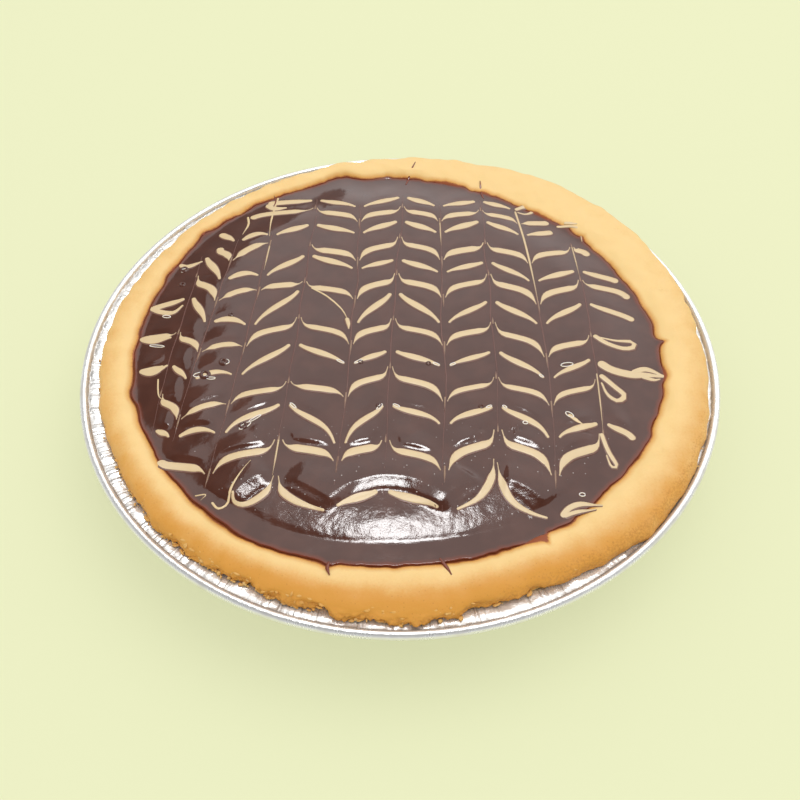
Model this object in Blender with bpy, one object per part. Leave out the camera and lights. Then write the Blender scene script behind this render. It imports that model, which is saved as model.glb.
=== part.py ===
"""A chocolate tart in its foil baking dish: the dish, the pastry crust and the chocolate filling.

The model is in metres with +Z up. The origin is under the middle of the dish, on the surface it
stands on, and the front of the tart is at -Y. Driving dimensions are in millimetres.
"""

import math

import bmesh
import bpy

MM = 0.001

# The foil dish
FOIL = 0.5  # thickness of the sheet as modelled
BASE_R = 84.0
DISH_DEPTH = 26.4  # from the standing face to the flange's inner edge, top side
WALL_TOP_R = 103.6
CORNER = 1.8  # how far the rounded corners of the dish reach
FLANGE_R = 109.4
FLANGE_RISE = 0.9
BEAD_R = 1.35  # the rolled rim
RIM_R = 112.0
DISH_SEGMENTS = 120
PLEATS = DISH_SEGMENTS // 2
PLEAT_HEIGHT = 0.3

# The pastry crust
GAP = 0.3  # between neighbouring solids
CRUST_FLOOR = 5.5
FLOOR_R = 76.0
CRUST_SEGMENTS = 96
FOOT_Z = 27.5  # the crust's outer foot, where it rests on the flange
RIM_CLEARANCE_R = 109.0  # the crust's foot stays inside the rolled rim
# The outer edge of the crust: direction in degrees and radius
OUTER_EDGE = (
    (0, 107.3),
    (20, 108.2),
    (45, 108.9),
    (70, 108.2),
    (90, 107.0),
    (112, 105.4),
    (139, 104.2),
    (160, 104.3),
    (180, 105.4),
    (204, 105.0),
    (227, 106.6),
    (248, 106.0),
    (266, 107.1),
    (277, 106.7),
    (284, 104.4),
    (298, 105.0),
    (312, 108.5),
    (322, 108.8),
    (330, 108.6),
    (345, 107.9),
)
# The raised part of the crust: share of the way from the chocolate to the outer edge, height, and
# share of the crown's lift
CRUST_SECTION = (
    (0.985, FOOT_Z + 0.4, 0.0),
    (1.0, 28.9, 0.0),
    (0.97, 30.3, 0.1),
    (0.88, 31.8, 0.6),
    (0.70, 33.05, 1.0),
    (0.46, 33.4, 1.0),
    (0.24, 32.9, 1.0),
    (0.045, 31.75, 0.5),
)

# The chocolate filling
FILLING_Z = 31.4  # where it meets the crust
LIP_DROP = 1.3  # how far the crust's lip falls below the chocolate's edge
BACK_DOME = 1.5  # how far the middle stands above the edge
FRONT_DOME = 0.8
BACK_SHOULDER = 20.0  # width of the slope from the dome down to the edge
FRONT_SHOULDER = 12.0
BACK_FOOT = 1.5  # width of the flat band outside that slope
FRONT_FOOT = 8.5
FILLING_SEGMENTS = CRUST_SEGMENTS  # so that both follow the same edge
FILLING_RINGS = 11

# The feathered top: rows of icing dragged to and fro leave low pillows in the glaze at the front
ROW_PITCH = 12.0
DRAG_PITCH = 17.3
PILLOW = 0.15


def crust_outer_radius(angle):
    """The crust's outer edge, an even curve through its measured points."""
    turn = math.degrees(angle) % 360
    for number, (start, radius) in enumerate(OUTER_EDGE):
        following = OUTER_EDGE[(number + 1) % len(OUTER_EDGE)]
        end = following[0] if following[0] > start else following[0] + 360
        if start <= turn < end:
            share = smooth_step((turn - start) / (end - start))
            return radius + (following[1] - radius) * share
    return OUTER_EDGE[0][1]


def crust_inner_radius(angle):
    """The line where the chocolate meets the crust, a little out of round, with a lobe at the back."""
    drift = -1.9 * math.cos(angle) - 1.0 * math.sin(2 * angle)
    wave = 1.3 * math.cos(3 * angle + 0.5) + 0.3 * math.cos(7 * angle + 1.4)
    lobe = 3.0 * hump(angle, 105.3, 0.075)
    return 92.1 + drift + wave + lobe


def hump(angle, middle_deg, width):
    """A soft bump in radius about a direction."""
    away = (angle - math.radians(middle_deg) + math.pi) % (2 * math.pi) - math.pi
    return math.exp(-((away / width) ** 2))


def crust_lift(angle):
    """How far the crown stands above or below its usual height."""
    return 0.5 * math.cos(angle - 1.1) + 0.25 * math.cos(3 * angle + 2.0) + 0.12 * math.cos(8 * angle)


def smooth_step(value):
    """0 below 0, 1 above 1 and an even curve between."""
    value = min(1.0, max(0.0, value))
    return value * value * (3 - 2 * value)


def filling_height(x, y):
    """Height of the chocolate's top over a point, in millimetres."""
    angle = math.atan2(y, x)
    inward = crust_inner_radius(angle) - math.hypot(x, y)
    front = max(0.0, -math.sin(angle)) ** 3
    foot = BACK_FOOT + (FRONT_FOOT - BACK_FOOT) * front
    shoulder = BACK_SHOULDER + (FRONT_SHOULDER - BACK_SHOULDER) * front
    share = min(1.0, max(0.0, (inward - foot) / shoulder))
    # Towards the front the slope ends at a crease instead of easing out
    dome = BACK_DOME * smooth_step(share) * (1 - front) + FRONT_DOME * (1 - (1 - share) ** 2) * front
    chevron = 2.0 * math.cos(math.pi * x / DRAG_PITCH)
    pillows = PILLOW * math.cos(2 * math.pi * (y - chevron) / ROW_PITCH)
    return FILLING_Z + dome + pillows * front * smooth_step((inward - foot) / shoulder)


def material(name, colour, roughness, metallic=0.0):
    """A Principled BSDF material with a linear colour."""
    made = bpy.data.materials.new(name)
    made.use_nodes = True
    shader = made.node_tree.nodes["Principled BSDF"]
    shader.inputs["Base Color"].default_value = (*colour, 1.0)
    shader.inputs["Roughness"].default_value = roughness
    shader.inputs["Metallic"].default_value = metallic
    return made


def turned(name, profile, segments, shape, finish):
    """An object from a profile of (radius, height) points that starts and ends on the axis.

    shape takes a point's number in the profile, its angle, radius and height, and returns its
    final radius and height. All of these are in millimetres.
    """
    mesh = bmesh.new()
    row = mesh.verts.layers.int.new("row")
    points = [mesh.verts.new((radius, 0, height)) for radius, height in profile]
    edges = [mesh.edges.new(pair) for pair in zip(points, points[1:])]
    for number, point in enumerate(points):
        point[row] = number
    bmesh.ops.spin(
        mesh,
        geom=points + edges,
        cent=(0, 0, 0),
        axis=(0, 0, 1),
        angle=2 * math.pi,
        steps=segments,
        use_merge=True,
    )
    bmesh.ops.remove_doubles(mesh, verts=mesh.verts, dist=0.001)
    for point in mesh.verts:
        radius = math.hypot(point.co.x, point.co.y)
        angle = math.atan2(point.co.y, point.co.x)
        radius, height = shape(point[row], angle, radius, point.co.z)
        point.co = (radius * math.cos(angle), radius * math.sin(angle), height)
    bmesh.ops.recalc_face_normals(mesh, faces=mesh.faces)
    bmesh.ops.scale(mesh, vec=(MM, MM, MM), verts=mesh.verts)
    data = bpy.data.meshes.new(name)
    mesh.to_mesh(data)
    mesh.free()
    data.shade_smooth()
    data.set_sharp_from_angle(angle=math.radians(40))
    made = bpy.data.objects.new(name, data)
    bpy.context.scene.collection.objects.link(made)
    data.materials.append(finish)
    return made


def dish_top_profile():
    """The dish's upper face from the middle of its floor to the rolled rim."""
    return [
        (BASE_R - CORNER, FOIL),
        (BASE_R + CORNER * 0.6, FOIL + CORNER * 0.6),
        (WALL_TOP_R - CORNER * 0.5, DISH_DEPTH - CORNER * 0.6),
        (WALL_TOP_R + CORNER * 0.6, DISH_DEPTH),
        (FLANGE_R, DISH_DEPTH + FLANGE_RISE),
    ]


def make_dish(finish):
    """The foil dish: a flat floor, a sloping pleated wall, a pleated flange and a rolled rim."""
    top = dish_top_profile()
    wall_slope = math.atan2(top[2][1] - top[1][1], top[2][0] - top[1][0])
    sideways = FOIL * math.sin(wall_slope)
    down = FOIL * math.cos(wall_slope)
    under = [(top[0][0], 0.0)]
    under += [(radius + sideways, max(0.6, height - down)) for radius, height in top[1:3]]
    under += [(radius, height - FOIL) for radius, height in top[3:]]
    bead_middle = (RIM_R - BEAD_R, DISH_DEPTH + FLANGE_RISE)
    bead = [
        (
            bead_middle[0] + BEAD_R * math.cos(math.radians(turn)),
            bead_middle[1] + BEAD_R * math.sin(math.radians(turn)),
        )
        for turn in (120, 60, 0, -60, -120)
    ]
    profile = [(0.0, FOIL), *top, *bead, *reversed(under), (0.0, 0.0)]
    last = len(profile) - 1
    pleated = {3, 4, last - 3, last - 4}

    def shape(row, angle, radius, height):
        if row not in pleated:
            return radius, height
        pleat = PLEAT_HEIGHT * math.cos(PLEATS * angle)
        return radius - pleat * 0.5, height + pleat * 0.5

    return turned("foil_dish", profile, DISH_SEGMENTS, shape, finish)


def crust_basin_profile():
    """The crust's inner side below the chocolate: two points measured from its edge, two fixed."""
    from_edge = [(-1.5, FILLING_Z - LIP_DROP), (-4.5, FILLING_Z - 4.6)]
    fixed = [(FLOOR_R + 4.0, CRUST_FLOOR + 2.2), (FLOOR_R, CRUST_FLOOR)]
    return from_edge, fixed


def make_crust(finish):
    """The pastry shell, which fills the dish and lies over its flange."""
    clear = GAP + PLEAT_HEIGHT
    floor, foot, wall_top, flange_in, _ = dish_top_profile()
    from_edge, fixed = crust_basin_profile()
    under = [
        (0.0, FOIL + GAP),
        (floor[0], FOIL + GAP),
        (foot[0] - clear, foot[1] + clear * 0.6),
        (wall_top[0] - clear, wall_top[1] + clear * 0.6),
        (flange_in[0] - clear, flange_in[1] + clear),
    ]
    # Rows of the raised part and of the lip start from a nominal radius and get their own in shape
    nominal = RIM_CLEARANCE_R
    raised = [(nominal, height) for _, height, _ in CRUST_SECTION]
    lip = [(nominal, height) for _, height in from_edge]
    profile = under + raised + lip + fixed + [(0.0, CRUST_FLOOR)]
    first_lip = len(under) + len(raised)

    def shape(row, angle, radius, height):
        outer = crust_outer_radius(angle)
        inner = crust_inner_radius(angle)
        if len(under) <= row < first_lip:
            share, level, lifted = CRUST_SECTION[row - len(under)]
            return inner + share * (outer - inner), level + lifted * crust_lift(angle)
        if first_lip <= row < first_lip + len(lip):
            return inner + from_edge[row - first_lip][0], height
        return radius, height

    return turned("pastry_crust", profile, CRUST_SEGMENTS, shape, finish)


def make_filling(finish):
    """The chocolate, one solid from the crust's floor to its glazed top."""
    from_edge, fixed = crust_basin_profile()
    nominal = RIM_CLEARANCE_R
    top = [(nominal * ring / FILLING_RINGS, FILLING_Z) for ring in range(FILLING_RINGS)]
    edge = [(nominal, FILLING_Z - 0.25)]
    sides = [(nominal, height) for _, height in from_edge]
    floor = [(radius - GAP, height + GAP) for radius, height in fixed]
    profile = top + edge + sides + floor + [(0.0, CRUST_FLOOR + GAP)]
    edge_row = len(top)
    insets = [-0.7, *(inset - GAP for inset, _ in from_edge)]

    def shape(row, angle, radius, height):
        out = crust_inner_radius(angle)
        if row < edge_row:
            radius = radius / nominal * out
            return radius, filling_height(radius * math.cos(angle), radius * math.sin(angle))
        if row < edge_row + len(insets):
            return out + insets[row - edge_row], height
        return radius, height

    return turned("chocolate_filling", profile, FILLING_SEGMENTS, shape, finish)


def main():
    """Clears the scene and makes the three solids."""
    for old in list(bpy.data.objects):
        bpy.data.objects.remove(old)
    make_dish(material("aluminium_foil", (0.8, 0.8, 0.79), 0.3, 1.0))
    make_crust(material("baked_shortcrust", (0.83, 0.51, 0.19), 0.6))
    make_filling(material("chocolate_glaze", (0.06, 0.03, 0.024), 0.2))


main()
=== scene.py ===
"""The looks of a chocolate tart in its foil dish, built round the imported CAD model.

Every length here is in millimetres until a mesh is finished, when it is scaled to metres. +Z is up,
the origin is under the middle of the dish and the front of the tart is at -Y.
"""

import logging
import math
from dataclasses import dataclass, field, replace
from enum import Enum

import bmesh
import bpy
import numpy as np
from mathutils import Matrix, Vector


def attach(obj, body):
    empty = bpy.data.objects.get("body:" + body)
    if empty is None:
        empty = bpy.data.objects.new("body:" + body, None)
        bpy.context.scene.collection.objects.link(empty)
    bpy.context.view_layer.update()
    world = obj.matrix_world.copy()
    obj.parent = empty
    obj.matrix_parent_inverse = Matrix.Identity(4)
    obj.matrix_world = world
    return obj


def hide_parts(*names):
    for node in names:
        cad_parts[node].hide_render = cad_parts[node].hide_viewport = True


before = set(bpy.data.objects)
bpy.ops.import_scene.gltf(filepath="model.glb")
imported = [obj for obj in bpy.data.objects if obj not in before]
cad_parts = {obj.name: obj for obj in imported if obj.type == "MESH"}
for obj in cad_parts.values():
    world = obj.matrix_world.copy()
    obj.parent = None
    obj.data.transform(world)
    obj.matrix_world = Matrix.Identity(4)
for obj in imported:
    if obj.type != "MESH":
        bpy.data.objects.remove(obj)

logger = logging.getLogger("tart")
Path = tuple[tuple[float, float], ...]
Colour = tuple[float, float, float]

MM = 0.001
BODY = "root"
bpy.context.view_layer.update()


# ------------------------------------------------------------------ shapes of the tart


def smooth_step(value: np.ndarray) -> np.ndarray:
    """Rises evenly from 0 at 0 to 1 at 1.

    Args:
        value: any numbers.

    Returns:
        The eased numbers, from 0 to 1.
    """
    value = np.clip(value, 0.0, 1.0)
    return value * value * (3 - 2 * value)


def hump(value: np.ndarray, width: float) -> np.ndarray:
    """A soft bump, 1 at 0.

    Args:
        value: distances from the middle of the bump.
        width: the distance at which it has fallen to about a third.

    Returns:
        The bump's height at each distance.
    """
    return np.exp(-((value / width) ** 2))


@dataclass(frozen=True)
class Swell:
    """A soft rise in one direction from the tart's middle, with its width in radians."""

    turn_deg: float
    height: float
    width: float

    def at(self, angle: np.ndarray) -> np.ndarray:
        """How high it stands in other directions.

        Args:
            angle: angles in radians.

        Returns:
            The heights.
        """
        away = (angle - math.radians(self.turn_deg) + math.pi) % (2 * math.pi) - math.pi
        return self.height * hump(away, self.width)


def waves_round(angle: np.ndarray, waves: tuple[tuple[int, float, float], ...]) -> np.ndarray:
    """Slow unevenness round a ring.

    Args:
        angle: angles in radians.
        waves: each wave's count round the ring, its height and its phase.

    Returns:
        The sum of the waves at each angle.
    """
    return sum(height * np.cos(count * angle + phase) for count, height, phase in waves)


def smooth_curve(points: np.ndarray, samples: int) -> np.ndarray:
    """An even Catmull-Rom curve through points.

    Args:
        points: one row a point.
        samples: how many points to return.

    Returns:
        The curve's points, from the first given point to the last.
    """
    points = np.asarray(points, float)
    padded = np.vstack([2 * points[0] - points[1], points, 2 * points[-1] - points[-2]])
    place = np.linspace(0, len(points) - 1, samples)
    piece = np.minimum(place.astype(int), len(points) - 2)
    share = (place - piece)[:, None]
    before, start, end, after = (padded[piece + step] for step in range(4))
    return 0.5 * (
        2 * start
        + (end - before) * share
        + (2 * before - 5 * start + 4 * end - after) * share**2
        + (3 * start - before - 3 * end + after) * share**3
    )


class Ripples:
    """Smooth seeded unevenness, a sum of waves that cross in many directions."""

    def __init__(self, seed: int, wavelength: float, height: float, waves: int = 14) -> None:
        """Draws the waves.

        Args:
            seed: the seed of their directions.
            wavelength: the usual distance from crest to crest, in millimetres.
            height: the usual height, in millimetres.
            waves: how many cross.
        """
        random = np.random.default_rng(seed)
        direction = random.normal(size=(waves, 3))
        direction /= np.linalg.norm(direction, axis=1)[:, None]
        length = wavelength * random.uniform(0.7, 1.5, waves)
        self.direction = direction * (2 * math.pi / length)[:, None]
        self.start = random.uniform(0, 2 * math.pi, waves)
        self.height = height * math.sqrt(2 / waves)

    def round_ring(self, angle: np.ndarray, radius: float) -> np.ndarray:
        """The unevenness round a flat ring.

        Args:
            angle: angles in radians.
            radius: the ring's radius in millimetres.

        Returns:
            The height at each angle, in millimetres.
        """
        return self.at(radius * np.cos(angle), radius * np.sin(angle))

    def at(self, x: np.ndarray, y: np.ndarray, z: np.ndarray | float = 0.0) -> np.ndarray:
        """The unevenness at points.

        Args:
            x: first coordinates in millimetres.
            y: second coordinates.
            z: third coordinates.

        Returns:
            The height at each point, in millimetres.
        """
        total = np.zeros(np.broadcast(x, y, z).shape)
        for (along_x, along_y, along_z), start in zip(self.direction, self.start):
            total = total + np.sin(along_x * x + along_y * y + along_z * z + start)
        return total * self.height


def closed_outline(points: Path, angle: np.ndarray) -> np.ndarray:
    """A smooth closed outline through points.

    Args:
        points: each point's direction in degrees and its radius, in order of direction.
        angle: angles in radians.

    Returns:
        The outline's radius at each angle.
    """
    wrapped = [(turn - 360, radius) for turn, radius in points[-3:]]
    wrapped += [*points, *((turn + 360, radius) for turn, radius in points[:3])]
    curve = smooth_curve(np.array(wrapped), 40 * len(wrapped))
    return np.interp(np.degrees(angle) % 360, curve[:, 0], curve[:, 1])


@dataclass(frozen=True)
class TartForm:
    """The outlines and heights that the pieces of the tart share."""

    filling_z: float = 31.4
    top_z: float = 34.15
    dome: float = 1.5
    front_dome: float = 0.80
    mean_outer_r: float = 106.0
    mean_inner_r: float = 92.1
    mean_glaze_r: float = 92.0
    # The crust's outer edge: direction in degrees and radius
    outer_edge: Path = (
        (0, 107.3), (20, 108.2), (45, 109.2), (70, 108.2), (90, 107.0), (112, 105.4), (139, 104.2),
        (160, 104.3), (180, 105.4), (204, 104.6), (227, 105.4), (248, 104.8), (266, 106.2),
        (277, 106.3), (284, 104.4), (298, 105.0), (312, 108.5), (322, 108.8), (330, 108.6),
        (345, 107.9),
    )
    # Where the crust bulges over the rolled rim, and how far out and up
    over_side: Swell = Swell(47.0, 1.0, 0.62)
    overhang: float = 2.0
    over_rise: float = 1.0
    # Waves: count round the ring, height and phase
    inner_waves: tuple[tuple[int, float, float], ...] = (
        (1, -1.9, 0.0),
        (2, -1.0, -math.pi / 2),
        (3, 1.3, 0.5), (7, 0.3, 1.4),
    )
    crown_waves: tuple[tuple[int, float, float], ...] = ((1, 0.5, -1.1), (3, 0.25, 2.0), (8, 0.12, 0.0))
    # The lobe of chocolate at the back, and the crust that nips it in
    inner_lobes: tuple[Swell, ...] = (Swell(105.3, 3.0, 0.075), Swell(98.5, -1.0, 0.05))
    rough_edge: float = 0.45
    rough_sides: tuple[Swell, ...] = (Swell(45, 0.55, 0.7), Swell(290, 0.4, 0.5))
    ragged_side: Swell = Swell(338, 1.0, 0.55)
    # Where the glaze runs further onto the crust: direction in degrees, reach and width
    tongues: tuple[tuple[float, float, float], ...] = (
        (42.0, 1.1, 1.8), (37.0, 0.9, 1.3), (358.7, 1.4, 1.2), (353.0, -0.6, 4.0),
        (296.0, 1.7, 2.6), (303.5, 1.2, 1.6), (297.5, 2.2, 1.1), (257.0, 0.9, 2.0),
        (196.0, 0.8, 3.5), (144.0, 0.9, 4.0),
    )
    # The crust's cross-section: share of the way from the glaze to the outer edge, and height
    crust_section: Path = (
        (-0.34, 26.8), (-0.11, 30.1), (0.045, 31.7), (0.24, 32.9), (0.46, 33.4), (0.70, 33.05),
        (0.88, 31.8), (0.965, 30.35), (1.0, 28.95), (1.008, 27.35),
    )
    crown_z: float = 30.5
    crown_run: float = 2.4
    # The dome's foot and run, inwards from the crust, at the back and how much they change at the front
    dome_foot: tuple[float, float] = (1.5, 7.0)
    dome_run: tuple[float, float] = (20.0, -8.0)
    middle_r: float = 36.0
    film: float = 0.12
    film_reach: float = 2.4
    meniscus: float = 0.3

    def outer_radius(self, angle: np.ndarray) -> np.ndarray:
        """The crust's outer edge, which reaches furthest out at the back right.

        Args:
            angle: angles in radians.

        Returns:
            The radii in millimetres.
        """
        uneven = Ripples(30, 7.0, 0.18).round_ring(angle, self.mean_outer_r)
        return closed_outline(self.outer_edge, angle) + uneven

    def inner_radius(self, angle: np.ndarray) -> np.ndarray:
        """The line where the chocolate meets the crust, a little out of round.

        Args:
            angle: angles in radians.

        Returns:
            The radii in millimetres.
        """
        lobes = sum(lobe.at(angle) for lobe in self.inner_lobes)
        return self.mean_inner_r + waves_round(angle, self.inner_waves) + lobes

    def glaze_radius(self, angle: np.ndarray) -> np.ndarray:
        """The glaze's ragged edge on the crust.

        Args:
            angle: angles in radians.

        Returns:
            The radii in millimetres.
        """
        rough = self.rough_edge + sum(side.at(angle) for side in self.rough_sides)
        ragged = self.ragged_side.at(angle)
        uneven = ((31, 12.0, 0.22, 1.0), (32, 3.4, 0.14, rough), (33, 8.0, 0.42, ragged))
        radius = self.inner_radius(angle)
        for seed, wavelength, height, share in uneven:
            radius = radius + share * Ripples(seed, wavelength, height).round_ring(angle, self.mean_glaze_r)
        for turn_deg, reach, width in self.tongues:
            radius = radius + Swell(turn_deg, reach, width / self.mean_glaze_r).at(angle)
        return radius

    def section(self, samples: int) -> np.ndarray:
        """The crust's cross-section as a dense curve.

        Args:
            samples: how many points to return.

        Returns:
            One row a point: its share outwards, its height, and its share of the crown's lift.
        """
        section = np.array(self.crust_section)
        lift = smooth_step((section[:, 1] - self.crown_z) / self.crown_run)
        return smooth_curve(np.column_stack([section, lift]), samples)

    def crust_top(self, x: np.ndarray, y: np.ndarray) -> np.ndarray:
        """Height of the crust's upper side over a point.

        Args:
            x: first coordinates in millimetres.
            y: second coordinates.

        Returns:
            The heights in millimetres.
        """
        angle = np.arctan2(y, x)
        inner, outer = self.inner_radius(angle), self.outer_radius(angle)
        share = (np.hypot(x, y) - inner) / (outer - inner)
        curve = self.section(200)
        curve = curve[: int(np.argmax(curve[:, 0])) + 1]
        height, lift = (np.interp(share, curve[:, 0], curve[:, column]) for column in (1, 2))
        return height + lift * waves_round(angle, self.crown_waves)

    def glaze_base(self, x: np.ndarray, y: np.ndarray) -> np.ndarray:
        """Height of the chocolate's top before the icing is dragged through it.

        Args:
            x: first coordinates in millimetres.
            y: second coordinates.

        Returns:
            The heights in millimetres.
        """
        angle = np.arctan2(y, x)
        radius = np.hypot(x, y)
        inward = self.inner_radius(angle) - radius
        front = np.clip(-np.sin(angle), 0, 1) ** 3
        foot, run = (back + change * front for back, change in (self.dome_foot, self.dome_run))
        share = np.clip((inward - foot) / run, 0, 1)
        # Towards the front the slope grows steadily and ends at a crease
        sharp = 1 - (1 - share) ** 2
        # All directions meet at one height in the middle
        front = front * smooth_step(radius / self.middle_r)
        level = self.filling_z + self.dome * smooth_step(share) * (1 - front)
        level = level + self.front_dome * sharp * front
        level = level + Ripples(41, 34.0, 0.08).at(x, y) + Ripples(42, 12.0, 0.012).at(x, y)
        film = self.film * smooth_step((self.glaze_radius(angle) - radius) / self.film_reach)
        on_crust = self.crust_top(x, y) + film
        # The level filling and the film on the crust join in a soft curve
        gap = (level - on_crust) / self.meniscus
        far = 8.0
        return np.where(gap > far, level, on_crust + self.meniscus * np.log1p(np.exp(np.minimum(gap, far))))


# ------------------------------------------------------------------ mesh making


def new_piece(name: str, shape: bmesh.types.BMesh, finish: bpy.types.Material) -> bpy.types.Object:
    """Makes an object of a finished shape and lets it ride on the tart.

    Args:
        name: the piece's name.
        shape: its mesh in millimetres, which is freed.
        finish: its material.

    Returns:
        The new object.
    """
    bmesh.ops.scale(shape, vec=(MM, MM, MM), verts=shape.verts)
    mesh = bpy.data.meshes.new(name)
    shape.to_mesh(mesh)
    shape.free()
    mesh.materials.append(finish)
    mesh.shade_smooth()
    made = bpy.data.objects.new(name, mesh)
    bpy.context.scene.collection.objects.link(made)
    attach(made, BODY)
    logger.info("%s: %d faces", name, len(mesh.polygons))
    return made


def read_points(shape: bmesh.types.BMesh) -> np.ndarray:
    """The points of a mesh under construction.

    Args:
        shape: the mesh.

    Returns:
        One row a point.
    """
    return np.array([point.co for point in shape.verts])


def write_points(shape: bmesh.types.BMesh, places: np.ndarray) -> None:
    """Moves the points of a mesh under construction.

    Args:
        shape: the mesh.
        places: one row a point.
    """
    for point, place in zip(shape.verts, places):
        point.co = place


def write_layer(shape: bmesh.types.BMesh, name: str, values: np.ndarray) -> None:
    """Stores a number on each point, which a material can read by its name.

    Args:
        shape: the mesh.
        name: the layer's name, which exists already.
        values: one number a point.
    """
    layer = shape.verts.layers.float[name]
    for point, value in zip(shape.verts, values):
        point[layer] = value


def ring_sheet(
    columns: int, points: int, layers: tuple[str, ...]
) -> tuple[bmesh.types.BMesh, np.ndarray, np.ndarray]:
    """A flat sheet to be rolled into a ring.

    Args:
        columns: faces round the ring.
        points: points of the cross-section that it gets.
        layers: names of the numbers to store on its points.

    Returns:
        The sheet, and for each of its points its angle in radians and its place in the cross-section.
    """
    sheet = bmesh.new()
    for name in layers:
        sheet.verts.layers.float.new(name)
    bmesh.ops.create_grid(sheet, x_segments=columns, y_segments=points - 1, size=0.5)
    spot = read_points(sheet) + 0.5
    return sheet, spot[:, 0] * 2 * math.pi, np.rint(spot[:, 1] * (points - 1)).astype(int)


def close_ring(
    sheet: bmesh.types.BMesh, name: str, node: str, finish: bpy.types.Material
) -> bpy.types.Object:
    """Joins a rolled sheet's ends, points its faces outwards and makes it a piece.

    Args:
        sheet: the rolled sheet.
        name: the piece's name.
        node: the CAD node that the piece replaces.
        finish: its material.

    Returns:
        The piece.
    """
    bmesh.ops.remove_doubles(sheet, verts=sheet.verts, dist=0.002)
    bmesh.ops.recalc_face_normals(sheet, faces=sheet.faces)
    made = new_piece(name, sheet, finish)
    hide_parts(node)
    return made


def polar(radius: np.ndarray, angle: np.ndarray, height: np.ndarray) -> np.ndarray:
    """Points from their places round the tart.

    Args:
        radius: their radii.
        angle: their angles in radians.
        height: their heights.

    Returns:
        One row a point.
    """
    return np.column_stack([radius * np.cos(angle), radius * np.sin(angle), height])


# ------------------------------------------------------------------ shader maths


class Wire:
    """An output of a shader node, so that Python's operators add Math nodes."""

    def __init__(self, owner: "Nodes", socket: bpy.types.NodeSocket) -> None:
        """Wraps a socket.

        Args:
            owner: the nodes that the socket belongs to.
            socket: the output socket.
        """
        self.owner = owner
        self.socket = socket

    def __add__(self, other: "Wire | float") -> "Wire":
        """This plus other."""
        return self.owner.math("ADD", self, other)

    def __radd__(self, other: "Wire | float") -> "Wire":
        """Other plus this."""
        return self.owner.math("ADD", other, self)

    def __sub__(self, other: "Wire | float") -> "Wire":
        """This less other."""
        return self.owner.math("SUBTRACT", self, other)

    def __rsub__(self, other: "Wire | float") -> "Wire":
        """Other less this."""
        return self.owner.math("SUBTRACT", other, self)

    def __mul__(self, other: "Wire | float") -> "Wire":
        """This times other."""
        return self.owner.math("MULTIPLY", self, other)

    def __rmul__(self, other: "Wire | float") -> "Wire":
        """Other times this."""
        return self.owner.math("MULTIPLY", other, self)


class Nodes:
    """A tree of shader nodes, and the ways to add to it."""

    def __init__(self, tree: bpy.types.NodeTree) -> None:
        """Takes up a tree.

        Args:
            tree: the material's or world's node tree.
        """
        self.tree = tree

    def node(self, kind: str, settings: dict, values: dict, output: str | int = 0) -> Wire:
        """Adds a node.

        Args:
            kind: the node's type.
            settings: its own settings, set before its sockets.
            values: what each of its input sockets holds or is linked to.
            output: the output wanted.

        Returns:
            That output.
        """
        made = self.tree.nodes.new(kind)
        for name, setting in settings.items():
            setattr(made, name, setting)
        for name, value in values.items():
            self.feed(made.inputs[name], value)
        return Wire(self, made.outputs[output])

    def feed(self, socket: bpy.types.NodeSocket, value: "Wire | float | tuple") -> None:
        """Gives an input socket a link or a constant.

        Args:
            socket: the input socket.
            value: a wire to link, or a number or colour to hold.
        """
        if isinstance(value, Wire):
            self.tree.links.new(value.socket, socket)
        elif socket.type == "RGBA":
            socket.default_value = (*value, 1.0)
        else:
            socket.default_value = value

    def math(self, operation: str, *values: "Wire | float") -> Wire:
        """A Math node.

        Args:
            operation: what it does.
            values: its inputs in order.

        Returns:
            Its answer.
        """
        return self.node("ShaderNodeMath", {"operation": operation}, dict(enumerate(values)))

    def blend(self, share: "Wire | float", first: "Wire | Colour", second: "Wire | Colour") -> Wire:
        """A mix of two colours.

        Args:
            share: how much of the second.
            first: the colour at 0.
            second: the colour at 1.

        Returns:
            The mixed colour.
        """
        return self.node("ShaderNodeMix", {"data_type": "RGBA"}, {0: share, 6: first, 7: second}, 2)


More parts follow.
